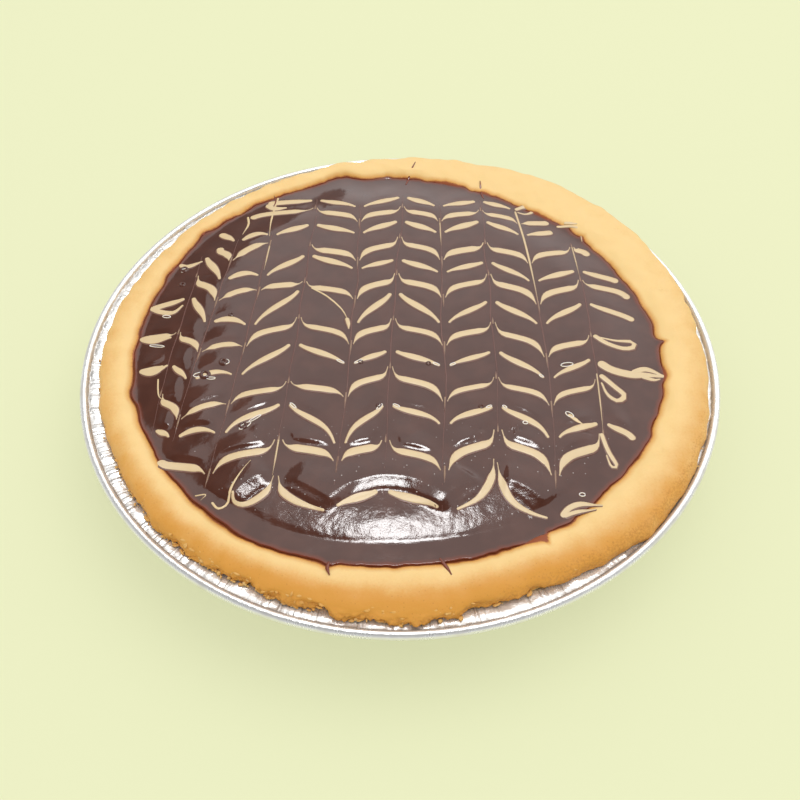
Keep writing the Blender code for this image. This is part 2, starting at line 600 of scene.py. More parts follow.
class Finish(Nodes):
    """One material: its Principled shader and the nodes that feed it."""

    def __init__(self, name: str) -> None:
        """Makes the material.

        Args:
            name: the material's name.
        """
        self.material = bpy.data.materials.new(name)
        self.material.use_nodes = True
        super().__init__(self.material.node_tree)
        self.shader = self.tree.nodes["Principled BSDF"]

    def place(self, stretch: tuple[float, float, float] = (1, 1, 1)) -> Wire:
        """The piece's own coordinates in millimetres.

        Args:
            stretch: extra scale along each axis.

        Returns:
            The coordinates.
        """
        own = self.node("ShaderNodeTexCoord", {}, {}, "Object")
        scale = tuple(part / MM for part in stretch)
        return self.node("ShaderNodeMapping", {}, {"Vector": own, "Scale": scale})

    def noise(self, size: float, detail: float = 2.0, rough: float = 0.5, stretch: tuple = (1, 1, 1)) -> Wire:
        """Cloudy noise from 0 to 1.

        Args:
            size: the usual size of a cloud in millimetres.
            detail: how many finer layers it has.
            rough: how strong the finer layers are.
            stretch: extra scale along each axis.

        Returns:
            The noise.
        """
        values = {
            "Vector": self.place(stretch),
            "Scale": 1 / size,
            "Detail": detail,
            "Roughness": rough,
        }
        return self.node("ShaderNodeTexNoise", {}, values, "Fac")

    def spots(self, spacing: float) -> Wire:
        """Distance to the nearest of many scattered points, about 0 to 0.7.

        Args:
            spacing: the usual distance between the points in millimetres.

        Returns:
            The distance as a share of the spacing.
        """
        values = {"Vector": self.place(), "Scale": 1 / spacing, "Randomness": 1.0}
        return self.node("ShaderNodeTexVoronoi", {}, values, "Distance")

    def layer(self, name: str) -> Wire:
        """A number stored on the mesh's points.

        Args:
            name: its layer's name.

        Returns:
            The number.
        """
        return self.node("ShaderNodeAttribute", {"attribute_name": name}, {}, "Fac")

    def spread(self, value: Wire, low: float, high: float) -> Wire:
        """Turns a range of values into 0 to 1.

        Args:
            value: the values.
            low: what becomes 0.
            high: what becomes 1.

        Returns:
            The new values, held between 0 and 1.
        """
        settings = {"interpolation_type": "SMOOTHSTEP"}
        values = {"Value": value, "From Min": low, "From Max": high}
        return self.node("ShaderNodeMapRange", settings, values)

    def bump(self, height: Wire, depth: float, under: "Wire | None" = None) -> Wire:
        """A bump.

        Args:
            height: the bump's height as a share.
            depth: the height in millimetres at a share of 1.
            under: another bump that this one lies on.

        Returns:
            The bent normal.
        """
        values = {"Height": height, "Distance": depth * MM, "Strength": 1.0}
        if under is not None:
            values["Normal"] = under
        return self.node("ShaderNodeBump", {}, values)

    def dress(self, **sockets: "Wire | float | Colour") -> bpy.types.Material:
        """Sets the shader's sockets.

        Args:
            sockets: values by socket name, with an underscore for each space.

        Returns:
            The finished material.
        """
        for name, value in sockets.items():
            self.feed(self.shader.inputs[name.replace("_", " ")], value)
        return self.material


@dataclass(frozen=True)
class FoilFinish:
    """Bright thin aluminium with fine creases, dull handling marks and painted shade in its folds."""

    colour: Colour = (0.85, 0.85, 0.84)
    tarnish: Colour = (0.74, 0.72, 0.69)
    painted_fold_shade: Colour = (0.36, 0.33, 0.30)
    metallic: float = 0.62
    roughness: float = 0.24
    crease_depth: float = 0.22

    def make(self) -> bpy.types.Material:
        """Makes the material.

        Returns:
            The material.
        """
        finish = Finish("aluminium_foil")
        cloud = finish.noise(9.0, 3.0)
        crease = finish.noise(2.6, 2.0, 0.6)
        rolled = finish.noise(0.5, 1.0, stretch=(1, 0.08, 1))
        dull = finish.spread(cloud, 0.45, 0.75)
        # Painted shade: the fold layer darkens the foil in the hollows of its pleats and flutes and in the
        # groove under the bead
        folds = finish.layer("fold") * finish.spread(crease, 0.20, 0.50)
        colour = finish.blend(dull, self.colour, self.tarnish)
        return finish.dress(
            Base_Color=finish.blend(folds, colour, self.painted_fold_shade),
            Metallic=self.metallic,
            Roughness=self.roughness + dull * 0.12 + rolled * 0.06,
            Normal=finish.bump(crease, self.crease_depth),
        )


@dataclass(frozen=True)
class PastryFinish:
    """Dry baked shortcrust, pale on its crown and browner at its outer edge; the browning is partly real and
    partly painted shade, which also darkens its dents.
    """

    pale: Colour = (0.832, 0.572, 0.232)
    golden: Colour = (0.66, 0.300, 0.044)
    brown: Colour = (0.42, 0.17, 0.030)
    stained: Colour = (0.30, 0.065, 0.014)
    roughness: float = 0.62
    grain_depth: float = 0.06
    mottle_depth: float = 0.25
    subsurface: float = 0.1
    subsurface_mm: float = 2.0

    def make(self) -> bpy.types.Material:
        """Makes the material.

        Returns:
            The material.
        """
        finish = Finish("baked_shortcrust")
        bake_and_shade = finish.layer("bake_and_shade")
        singe_and_shade = finish.layer("singe_and_shade")
        mottle = finish.noise(7.0, 3.0)
        grain = finish.noise(0.7, 3.0, 0.6)
        pores = 1 - finish.spread(finish.spots(1.5), 0.05, 0.20)
        # The bake layer carries real browning and painted shade on the front shoulder and the back left side
        golden = finish.spread(bake_and_shade + (mottle - 0.5) * 0.5 + (grain - 0.5) * 0.3, 0.05, 1.15)
        # The singe layer carries real toasting at the foot and in specks, and painted shade in the dents
        toasted_and_shaded = finish.spread(singe_and_shade + (grain - 0.5) * 1.5, 0.35, 1.0)
        colour = finish.blend(golden, self.pale, self.golden)
        colour = finish.blend(pores * golden * 0.35, colour, self.brown)
        colour = finish.blend(toasted_and_shaded * 0.6, colour, self.brown)
        # Next to the glaze the crust is soaked: golden first, then stained
        soaked = finish.layer("stain") + (grain - 0.5) * 0.2
        colour = finish.blend(finish.spread(soaked, 0.15, 1.0), colour, self.golden)
        colour = finish.blend(finish.spread(soaked, 0.74, 1.0), colour, self.stained)
        fine = finish.bump(grain - pores * 0.5, self.grain_depth)
        return finish.dress(
            Base_Color=colour,
            Roughness=self.roughness + (mottle - 0.5) * 0.2,
            Normal=finish.bump(mottle, self.mottle_depth, fine),
            Subsurface_Weight=self.subsurface,
            Subsurface_Radius=(1.0, 0.5, 0.2),
            Subsurface_Scale=self.subsurface_mm * MM,
            Specular_IOR_Level=0.35,
        )


@dataclass(frozen=True)
class GlazeFinish:
    """Wet dark chocolate glaze, red-brown where it thins out over the crust, with pale specks at the front
    that are painted glints of tiny bubbles.
    """

    deep: Colour = (0.067, 0.0220, 0.0132)
    light: Colour = (0.083, 0.0280, 0.0170)
    thin: Colour = (0.165, 0.030, 0.009)
    froth_and_painted_glints: Colour = (0.62, 0.56, 0.52)
    roughness: float = 0.06
    uneven_depth: float = 0.03
    wave_depth: float = 0.16
    streak_depth: float = 0.045

    def make(self) -> bpy.types.Material:
        """Makes the material.

        Returns:
            The material.
        """
        finish = Finish("chocolate_glaze")
        depth = finish.layer("depth")
        cloud = finish.noise(8.0, 2.0)
        uneven = finish.noise(2.2, 2.0)
        colour = finish.blend(finish.spread(cloud, 0.35, 0.7), self.deep, self.light)
        colour = finish.blend(finish.spread(depth - (uneven - 0.5) * 0.3, 0.0, 0.58), self.thin, colour)
        froth_and_painted_glints = finish.layer("froth_and_painted_glints")
        # Painted highlights: pale specks stand for the glints of tiny bubbles
        specks = (1 - finish.spread(finish.spots(2.2), 0.05, 0.11)) * froth_and_painted_glints
        streaks = finish.noise(1.0, 3.0, 0.65) * froth_and_painted_glints
        wavy = finish.noise(4.5, 1.0) * froth_and_painted_glints
        soft = finish.bump(wavy, self.wave_depth, finish.bump(uneven, self.uneven_depth))
        return finish.dress(
            Base_Color=finish.blend(specks, colour, self.froth_and_painted_glints),
            Roughness=self.roughness + cloud * 0.08 + streaks * 0.05,
            Normal=finish.bump(streaks, self.streak_depth, soft),
            IOR=1.5,
        )


@dataclass(frozen=True)
class IcingFinish:
    """Satin caramel icing that turns brown where it is drawn out thin, and pale in rings painted as glints on
    bubble rims.
    """

    caramel: Colour = (0.70, 0.51, 0.27)
    drawn: Colour = (0.135, 0.042, 0.026)
    foam_painted_glints: Colour = (0.86, 0.80, 0.72)
    roughness: float = 0.30
    cloud_depth: float = 0.05
    subsurface: float = 0.1
    subsurface_mm: float = 1.5

    def make(self) -> bpy.types.Material:
        """Makes the material.

        Returns:
            The material.
        """
        finish = Finish("caramel_icing")
        body = finish.layer("body")
        cloud = finish.noise(3.0, 2.0)
        share = finish.spread(body + (cloud - 0.5) * 0.15, 0.0, 0.9)
        colour = finish.blend(share, self.drawn, self.caramel)
        return finish.dress(
            # A body over 1.2 paints the icing pale: rings of painted glint on bubble rims
            Base_Color=finish.blend(finish.spread(body, 1.2, 1.6), colour, self.foam_painted_glints),
            Roughness=self.roughness + cloud * 0.12,
            Normal=finish.bump(cloud, self.cloud_depth),
            Subsurface_Weight=self.subsurface,
            Subsurface_Radius=(1.0, 0.6, 0.3),
            Subsurface_Scale=self.subsurface_mm * MM,
        )


# ------------------------------------------------------------------ the foil dish


@dataclass
class FoilDish:
    """The thin baking dish: flat floor, fluted wall, pleated flange and rolled rim."""

    foil: float = 0.5
    floor_r: float = 60.0
    base_r: float = 84.0
    wall_top_r: float = 103.6
    depth: float = 26.4
    flange_r: float = 109.0
    flange_rise: float = 0.9
    bead_r: float = 1.35
    rim_r: float = 112.0
    columns: int = 2430
    flute_count: int = 168
    flute_height: float = 0.4
    pleat_count: int = 460
    pleat_height: float = 0.14
    # Where a pleat's crest is: near one of its sides
    pleat_crests: tuple[float, float] = (0.14, 0.86)
    # How much shade is painted into the folds: of a pleat, of a flute and of the groove under the bead
    pleat_shade: float = 0.85
    flute_shade: float = 0.75
    groove_shade: float = 0.7
    seed: int = 5

    def pleats(self, angle: np.ndarray) -> np.ndarray:
        """The flange's uneven folds.

        Args:
            angle: angles in radians.

        Returns:
            Heights from about -1 to 1.
        """
        random = np.random.default_rng(self.seed)
        widths = 0.5 + 2.4 * random.uniform(0.0, 1.0, self.pleat_count) ** 1.7
        starts = np.concatenate([[0.0], np.cumsum(widths)]) / widths.sum() * 2 * math.pi
        fold = np.searchsorted(starts, angle % (2 * math.pi), side="right") - 1
        fold = np.clip(fold, 0, len(widths) - 1)
        share = (angle % (2 * math.pi) - starts[fold]) / (starts[fold + 1] - starts[fold])
        crest = random.choice(self.pleat_crests, len(widths))[fold]
        height = (0.15 + 0.85 * random.uniform(0.0, 1.0, len(widths)) ** 1.5)[fold]
        rise = np.where(share < crest, share / crest, (1 - share) / (1 - crest))
        return height * (rise * 2 - 1)

    def section(self) -> list[tuple[float, float, float, float]]:
        """The dish's cross-section, from the middle of its floor over the rim and back under.

        Returns:
            Radius, height, how much the wall's flutes and the flange's pleats move each point.
        """
        foil, base, wall_top, depth = self.foil, self.base_r, self.wall_top_r, self.depth
        top, lip = depth + self.flange_rise, wall_top + 0.9
        wall = [
            (base + (wall_top - base) * share, foil + (depth - 0.6) * share)
            for share in (0.2, 0.5, 0.8, 0.93)
        ]
        flange = [
            (lip + (self.flange_r - lip) * share, depth + self.flange_rise * share)
            for share in (0.25, 0.5, 0.75)
        ]
        upper = [(0.0, foil, 0, 0), (self.floor_r, foil, 0, 0), (base - 2.2, foil, 0, 0)]
        upper += [(base - 0.6, foil + 0.3, 0, 0), (base + 0.7, foil + 1.4, 0.4, 0)]
        upper += [(radius, height, 1, 0) for radius, height in wall]
        upper += [(wall_top, depth - 0.4, 0.6, 0.3), (lip, depth, 0, 0.8)]
        upper += [(radius, height, 0, 1) for radius, height in flange]
        upper += [(self.flange_r - 0.3, top - 0.25, 0, 0.8), (self.flange_r + 0.2, top - 0.15, 0, 0.1)]
        turns = np.radians(range(150, -151, -25))
        bead_x = self.rim_r - self.bead_r
        bead = [
            (bead_x + self.bead_r * math.cos(turn), top + self.bead_r * math.sin(turn), 0, 0)
            for turn in turns
        ]
        under = [(self.flange_r - 0.4, top - 0.25 - foil, 0, 0.5)]
        under += [(radius, height - foil, 0, 1) for radius, height in reversed(flange)]
        under += [(wall_top + 1.0, depth - foil, 0, 0.8)]
        under += [(radius + 0.45, height - 0.35, 1, 0) for radius, height in reversed(wall)]
        under += [(base + 1.0, 1.0, 0.4, 0), (base - 0.2, 0.2, 0, 0)]
        under += [(base - 2.2, 0.0, 0, 0), (self.floor_r, 0.0, 0, 0), (0.0, 0.0, 0, 0)]
        return upper + bead + under

    def build(self, finish: bpy.types.Material) -> bpy.types.Object:
        """Makes the dish.

        Args:
            finish: its material.

        Returns:
            The dish.
        """
        section = np.array(self.section())
        sheet, angle, row = ring_sheet(self.columns, len(section), ("fold",))
        radius, height, flute, pleat = section[row].T
        flutes = self.flute_height * np.cos(self.flute_count * angle)
        radius = radius + flute * flutes
        fold = self.pleats(angle)
        crumple = Ripples(self.seed + 1, 6.0, 0.10).round_ring(angle, radius)
        height = height + pleat * (self.pleat_height * fold + crumple)
        write_points(sheet, polar(radius, angle, height))
        # Painted shade: darker on the low side of each pleat, in the flutes' hollows and in the groove under
        # the bead
        painted_crease_shade = self.pleat_shade * (pleat > 0.2) * smooth_step((-0.35 - fold) / 0.3)
        painted_crease_shade = painted_crease_shade + self.flute_shade * flute * smooth_step(-flutes / self.flute_height)
        groove = (radius > self.flange_r - 0.35) & (radius < self.flange_r + 0.25) & (height > self.depth)
        write_layer(sheet, "fold", np.where(groove, self.groove_shade, painted_crease_shade))
        return close_ring(sheet, "foil_dish_pleated", "foil_dish", finish)


# ------------------------------------------------------------------ the pastry crust


@dataclass(frozen=True)
class Dent:
    """A shallow pit in the crust."""

    x: float
    y: float
    width: float
    depth: float

    def at(self, places: np.ndarray) -> np.ndarray:
        """How strongly it shows at places.

        Args:
            places: one row a point.

        Returns:
            Shares from 0 to 1.
        """
        return hump(np.hypot(places[:, 0] - self.x, places[:, 1] - self.y), self.width)


@dataclass
class PastryCrust:
    """The pastry shell that lies over the flange."""

    form: TartForm
    columns: int = 900
    rows_seen: int = 70
    stain_reach: float = 3.0
    highest: float = 34.03
    lowest: float = 27.2
    furthest: float = 110.5
    seed: int = 11
    # Wavelength and height of its unevenness: smooth, small, coarse, uneven and fine
    ripples: Path = ((17.0, 0.22), (5.0, 0.07), (2.6, 0.34), (7.0, 0.42), (1.3, 0.16))
    # The sides that break up into crumbs, have brown specks and get painted shade
    crumbly_side: Swell = Swell(256, 0.90, 0.55)
    crumbling_all_round: float = 0.10
    crumbling: float = 1.5
    speckled_side: Swell = Swell(315, 0.62, 0.7)
    painted_shade_side: Swell = Swell(150, 0.22, 0.6)
    singed_foot: float = 0.50
    painted_dent_shade: float = 0.35
    # Radius and height of what can't be seen: under the glaze, and under the crown and in the dish
    hidden_in: Path = ((0.0, 5.5), (76.0, 5.5), (80.0, 7.7))
    hidden_out: Path = (
        (103.9, 27.0), (102.6, 25.4), (84.6, 2.0), (82.0, 0.8), (0.0, 0.8),
    )
    dents: tuple[Dent, ...] = (
        Dent(-96.5, 20.6, 2.2, 0.5),
        Dent(86.0, 58.5, 1.4, 0.5),
        Dent(97.0, 24.0, 2.4, 0.45),
        Dent(82.5, -51.0, 1.3, 0.5),
        Dent(-70.0, 72.0, 1.6, 0.4),
        Dent(-99.0, -12.0, 1.2, 0.4),
    )

    def unevenness(self, around: np.ndarray, low: np.ndarray, crumbling: np.ndarray) -> np.ndarray:
        """How far the baked surface stands out: smooth on top, crumbs at its outer foot.

        Args:
            around: the even surface's points, one row each.
            low: how near the outer foot each is, from 0 to 1.
            crumbling: how crumbly that side is.

        Returns:
            The distances in millimetres.
        """
        smooth, small, coarse, uneven, fine = (
            Ripples(self.seed + step, wavelength, height).at(*around.T)
            for step, (wavelength, height) in enumerate(self.ripples)
        )
        crumbs = np.abs(coarse) + np.abs(fine) + uneven - 0.25
        push = smooth + small + low * crumbling * self.crumbling * crumbs
        return push - sum(dent.depth * dent.at(around) for dent in self.dents)

    def build(self, finish: bpy.types.Material) -> bpy.types.Object:
        """Makes the crust.

        Args:
            finish: its material.

        Returns:
            The crust.
        """
        form, seen = self.form, self.form.section(self.rows_seen)
        count = len(self.hidden_in) + self.rows_seen + len(self.hidden_out)
        sheet, angle, row = ring_sheet(self.columns, count, ("bake_and_shade", "singe_and_shade", "stain"))
        inner, outer = form.inner_radius(angle), form.outer_radius(angle)
        first = len(self.hidden_in)
        shown = (row >= first) & (row < first + self.rows_seen)
        line = np.clip(row - first, 0, self.rows_seen - 1)
        place, rise, lift = seen[line].T
        over = form.over_side.at(angle)
        outward = np.clip(place, 0, 1)
        bulge = form.overhang * over * smooth_step((rise - 28.7) / 1.4) * outward**3
        radius = inner + place * (outer - inner) + bulge
        height = rise + lift * waves_round(angle, form.crown_waves)
        height = height + over * form.over_rise * hump(outward - 0.92, 0.17) * (rise > 28.0)
        around = polar(radius, angle, height)
        front = 0.5 - 0.5 * np.sin(angle)
        low = smooth_step((31.0 - height) / 2.4) * smooth_step((place - 0.5) / 0.4)
        crumbling = self.crumbling_all_round + self.crumbly_side.at(angle)
        push = np.where(shown, self.unevenness(around, low, crumbling), 0.0)
        push = push * smooth_step((place + 0.1) / 0.15)
        usual_width = 13.6
        climb, run = np.gradient(seen[:, 1]), np.gradient(seen[:, 0]) * usual_width
        face_out = -(climb / np.maximum(1e-6, np.hypot(climb, run)))[line]
        radius = radius + push * np.clip(face_out, -1, 1)
        height = height + push * np.sqrt(np.clip(1 - face_out**2, 0, 1))
        rest = np.array([*self.hidden_in, *[(0.0, 0.0)] * self.rows_seen, *self.hidden_out])
        radius = np.where(shown, np.minimum(radius, self.furthest), rest[row, 0])
        height = np.where(shown, np.clip(height, self.lowest, self.highest), rest[row, 1])
        write_points(sheet, polar(radius, angle, height))
        # Real browning towards the outer edge, with painted shade: far stronger towards the front, on the
        # shoulder that faces away from the lamps
        bake_and_shade = 1.12 * smooth_step((outward - 0.14) / 0.74) * (0.08 + 0.92 * front**1.8)
        # Painted shade makes the back left side browner
        bake_and_shade = bake_and_shade + 0.03 + 0.08 * front**2 + self.painted_shade_side.at(angle)
        singe_and_shade = self.singed_foot * low * crumbling
        singe_and_shade = singe_and_shade + smooth_step((outward - 0.64) / 0.26) * self.speckled_side.at(angle)
        # Painted shade darkens the dents
        singe_and_shade = singe_and_shade + self.painted_dent_shade * sum(dent.at(around) for dent in self.dents)
        past_glaze = np.hypot(around[:, 0], around[:, 1]) - form.glaze_radius(angle)
        write_layer(sheet, "bake_and_shade", np.where(shown, bake_and_shade, 0.5))
        write_layer(sheet, "singe_and_shade", np.where(shown, singe_and_shade, 0.0))
        write_layer(sheet, "stain", np.clip(1 - past_glaze / self.stain_reach, 0.0, 1.0))
        return close_ring(sheet, "shortcrust_shell", "pastry_crust", finish)


# ------------------------------------------------------------------ the feathered icing


class Cut(Enum):
    """How a line of icing meets the drag lines."""

    BROKEN = "ends short of them, in blunt ends"
    JOINED = "is drawn out along them, in fine points"
    BLUNT = "ends thick and round, away from them"


class FoamPaintedGlints(Enum):
    """Where a row's marks carry bubbles, drawn as pale rings of painted glint."""

    NONE = "nowhere"
    PEAKS = "at their ends towards the back"
    VALLEYS = "at their ends towards the front"


@dataclass(frozen=True)
class DragLine:
    """One pull of the skewer through the icing, from back to front or front to back."""

    back_x: float
    middle_x: float
    front_x: float
    towards_front: bool
    reach: float = 70.0

    def x_at(self, y: np.ndarray | float) -> np.ndarray | float:
        """Where the pull is at a distance from the front or back.

        Args:
            y: second coordinates in millimetres.

        Returns:
            First coordinates in millimetres.
        """
        share = y / self.reach
        bend = (self.back_x + self.front_x) / 2 - self.middle_x
        return self.middle_x + (self.back_x - self.front_x) / 2 * share + bend * share**2


@dataclass(frozen=True)
class IcingRow:
    """One piped line of icing: its height at each drag line, and its loose ends."""

    cut: Cut
    heights: tuple[float | None, ...]
    left_end: tuple[float, float] | None = None
    right_end: tuple[float, float] | None = None
    thickness: float = 2.4
    gaps: tuple[int, ...] = ()
    tail: float = 0.18
    foam_painted_glints: FoamPaintedGlints = FoamPaintedGlints.NONE
    relief: float = 1.0
    keep: float | None = None


@dataclass(frozen=True)
class Stroke:
    """One mark of icing: its middle line, width and ends."""

    line: np.ndarray
    width: float
    start: Cut = Cut.BROKEN
    end: Cut = Cut.BROKEN
    body: float = 1.0
    relief: float = 1.0
    height: float = 0.13

    def lengths(self) -> np.ndarray:
        """Distance along the stroke.

        Returns:
            The distance at each of its points.
        """
        steps = np.hypot(*np.diff(self.line, axis=0).T)
        return np.concatenate([[0.0], np.cumsum(steps)])

    def widths(self, share: np.ndarray) -> np.ndarray:
        """The stroke's width along its length.

        Args:
            share: places along it from 0 to 1.

        Returns:
            Widths in millimetres, 0 at its two ends.
        """
        fine = 0.14
        wide = np.ones_like(share)
        if self.start is Cut.JOINED:
            wide = wide * (fine + (1 - fine) * smooth_step((share - 0.10) / 0.22))
        elif self.start is Cut.BROKEN:
            wide = wide * (0.55 + 0.45 * smooth_step(share / 0.40))
        if self.end is Cut.JOINED:
            wide = wide * (fine + (1 - fine) * smooth_step((0.97 - share) / 0.28))
        elif self.end is Cut.BROKEN:
            wide = wide * (0.34 + 0.66 * smooth_step((1 - share) / 0.55))
        length = self.lengths()[-1]
        cap = np.minimum(share, 1 - share) * length / np.maximum(0.05, wide * self.width * 0.45)
        return self.width * wide * np.sqrt(np.clip(1 - (1 - np.clip(cap, 0, 1)) ** 2, 0, 1))


def nearest_on(line: np.ndarray, x: np.ndarray, y: np.ndarray) -> tuple[np.ndarray, ...]:
    """The nearest of a line's points to each of many others.

    Args:
        line: the line's points, one row each.
        x: first coordinates of the others.
        y: second coordinates.

    Returns:
        The nearest point's place in the line, its distance, and how far x and y lie past it.
    """
    away_x, away_y = x[:, None] - line[None, :, 0], y[:, None] - line[None, :, 1]
    distance = np.hypot(away_x, away_y)
    nearest = distance.argmin(axis=1)
    every = np.arange(len(x))
    return nearest, distance[every, nearest], away_x[every, nearest], away_y[every, nearest]


@dataclass
class IcingPattern:
    """The feathering: piped rows of icing, pulled to and fro across their length."""

    seed: int = 3
    lines: tuple[DragLine, ...] = (
        DragLine(-74.0, -79.0, -82.0, False),
        DragLine(-61.0, -69.0, -75.0, True),
        DragLine(-49.5, -54.0, -61.0, True),
        DragLine(-34.5, -36.8, -40.3, False),
        DragLine(-16.3, -17.0, -20.8, True),
        DragLine(0.8, -2.8, -5.4, False),
        DragLine(15.8, 15.7, 13.4, True),
        DragLine(32.7, 33.2, 30.0, False),
        DragLine(46.9, 50.8, 47.5, True),
        DragLine(66.0, 67.6, 63.4, False),
    )
    rows: tuple[IcingRow, ...] = (
        IcingRow(Cut.BROKEN, (None, None, None, 77.5, 72, 79, 73, 77, 72.5, None), (-54, 75.5), None, 3.2),
        IcingRow(
            Cut.JOINED, (None, None, None, 72, 62.5, 72.5, 63, 71, 62.5, None), (-60, 66), (59.5, 64), 3.0
        ),
        IcingRow(Cut.BROKEN, (None, 51.5, 54.5, 61, 55.5, 63, 56, 63, 55, None), (-71, 57), (60.5, 58), 3.1),
        IcingRow(
            Cut.JOINED, (None, 39.5, 49.5, 49, 39.5, 53.5, 40, 50, 38, 49), (-70, 48), (72.5, 43.5), 3.1, (2,)
        ),
        IcingRow(Cut.BROKEN, (42.5, 29, 31, 42.5, 35, 40, 33, 38.5, 28, 34), None, (82, 29), 2.9),
        IcingRow(Cut.JOINED, (32, 17.5, 23, 28, 18.5, 32.5, 19, 32, 15.5, 29), None, (84.5, 20), 2.9),
        IcingRow(
            Cut.BROKEN, (19.5, 6.5, 5, 23, 6, 21.5, 6, 17, 5.5, 16), (-91, 14), (84.5, 8.5), 2.7, (3,)
        ),
        IcingRow(Cut.JOINED, (2, -8, -5.5, 9, -4.5, 8.5, -5, 6.5, -10.5, 0), (-92, -1.5), None, 2.6),
        IcingRow(
            Cut.BROKEN,
            (-14, -20.5, -18.5, -4.5, -13.5, -7.5, -14.5, -8, -20, -11.5), (-89.5, -16.5),
            foam_painted_glints=FoamPaintedGlints.VALLEYS,
        ),
        IcingRow(Cut.JOINED, (-26.5, -37.5, -31.5, -21.5, -28, -14.5, -30, -19.5, -32, -20.5)),
        IcingRow(
            Cut.BROKEN,
            (-41.5, -44.5, -43.5, -31.5, -47.5, -31.5, -39.5, -32.5, -45.5, -39.5),
            None,
            (75.5, -45.5),
            tail=0.36,
            foam_painted_glints=FoamPaintedGlints.PEAKS,
        ),
        IcingRow(
            Cut.JOINED,
            (None, None, -59, -46, -54.5, -46, -58.5, -42, -60, -43.5),
            (-76, -53.5),
            None,
            3.0,
            keep=1.25,
        ),
        IcingRow(
            Cut.BROKEN,
            (None, None, None, None, -71.2, -65.5, -71.8, None, None, None),
            None,
            None,
            2.9,
            relief=0.0,
        ),
    )

    # The loops, swirls and smears at the ends of the rows: points and width
    loops: tuple[tuple[Path, float], ...] = (
        # Left: fat ends at the crust
        (((-92.0, -0.2), (-87.6, -1.6), (-81.0, -0.2)), 2.9),
        (((-89.0, -15.8), (-85.0, -16.8), (-80.0, -13.6)), 2.7),
        (((-91.2, 15.0), (-87.0, 12.9), (-82.4, 12.4), (-79.4, 16.0)), 2.4),
        (((-84.6, 38.6), (-81.0, 37.8), (-75.8, 40.4)), 2.2),
        # Back right: a small loop
        (((46.8, 72.0), (50.7, 73.4), (54.4, 71.2), (51.0, 69.2), (47.6, 70.4)), 1.7),
        # Right: a long closed loop
        (
            ((68.5, 0.0), (72.5, -3.8), (78.0, -6.0), (82.0, -5.0),
             (82.0, -2.4), (76.0, -2.4), (70.0, -1.0)),
            1.9,
        ),
        # Right: the thick end that runs onto the crust
        (((68.4, -12.8), (72.6, -16.3), (79.0, -17.9), (85.0, -17.6), (90.6, -18.2)), 3.4),
        (((79.5, -17.2), (83.5, -15.2), (86.5, -15.6), (90.6, -18.2)), 2.2),
        (((82.5, -18.4), (86.5, -19.6), (89.0, -19.2)), 1.6),
        # Right: a hanging loop
        (((68.1, -18.6), (72.5, -23.9), (75.2, -27.3), (72.5, -29.8), (69.4, -27.2), (68.1, -22.0)), 2.0),
        # Front right: a stick across a mark, and a narrow loop
        (((55.2, -36.0), (57.0, -38.2), (59.5, -40.5)), 1.3),
        (((65.0, -43.4), (66.4, -50.0), (68.4, -55.4), (66.6, -55.8), (65.6, -51.5)), 1.5),
        # Front right: smears on the crust
        (((48.8, -74.4), (51.6, -71.2), (56.0, -69.8), (61.6, -71.2)), 2.0),
        (((49.4, -74.2), (54.0, -72.6), (59.4, -72.4)), 1.5),
        # Front left: a thin swirl
        (
            ((-57.5, -69.3), (-55.2, -71.6), (-52.6, -69.8),
             (-51.9, -64.8), (-49.5, -59.0), (-46.9, -54.4)),
            0.8,
        ),
        # Back right edge: broken bits
        (((62.5, 61.4), (68.4, 60.2), (71.1, 57.9), (71.5, 52.2)), 1.1),
        (((65.5, 62.5), (70.5, 61.0)), 1.3),
        # Left: a stray hair
        (((-33.0, 24.5), (-27.0, 20.0), (-21.5, 13.5), (-19.0, 8.0), (-18.3, 3.6)), 0.7),
        (((-19.2, 8.6), (-18.5, 5.6), (-18.3, 3.0)), 1.5),
        # Left: hairs by the edge
        (((-82.4, -19.8), (-81.6, -24.5), (-80.5, -27.9), (-77.6, -30.0)), 0.6),
        (((-63.0, -67.0), (-59.7, -66.5), (-61.0, -68.6)), 0.5),
        # Back left: a fat end and two hairs across marks
        (((-54.6, 75.0), (-51.0, 72.2), (-46.0, 72.6)), 2.8),
        (((-50.2, 79.6), (-51.1, 71.8), (-51.6, 63.1), (-51.3, 53.7)), 0.8),
        (((-61.4, 67.4), (-60.6, 62.0), (-62.2, 55.5)), 0.9),
    )
    # The last row's swept marks: points and width
    sweeps: tuple[tuple[Path, float], ...] = (
        (((29.6, -53.6), (28.9, -59.2), (26.6, -64.8), (23.2, -68.8), (17.2, -72.2)), 2.6),
        (((30.6, -55.0), (31.2, -61.0), (32.6, -66.4), (35.2, -70.2), (39.4, -72.9), (44.6, -74.8)), 2.5),
        (
            ((-39.3, -60.0), (-40.6, -65.0), (-43.6, -68.3),
             (-47.6, -70.3), (-50.6, -69.2), (-51.3, -65.9)),
            2.4,
        ),
        (((-37.9, -60.0), (-36.4, -65.4), (-32.4, -68.9), (-28.0, -71.0), (-22.8, -72.8)), 2.7),
    )
    relief_limit: float = 1.5
    relief_reach: float = 13.0
    # Slopes of a step at its foot and at its lip, and the lengths of its face and of the slope behind it
    steep: float = 0.40
    gentle: float = 0.12
    step_face: float = 2.0
    step_slope: float = 2.9
    step_fade: float = 7.0
    hair_width: float = 0.42
    stem_width: float = 0.60
    ring_width: float = 0.36
    border_spread: float = 0.8
    border_shift: float = -0.22
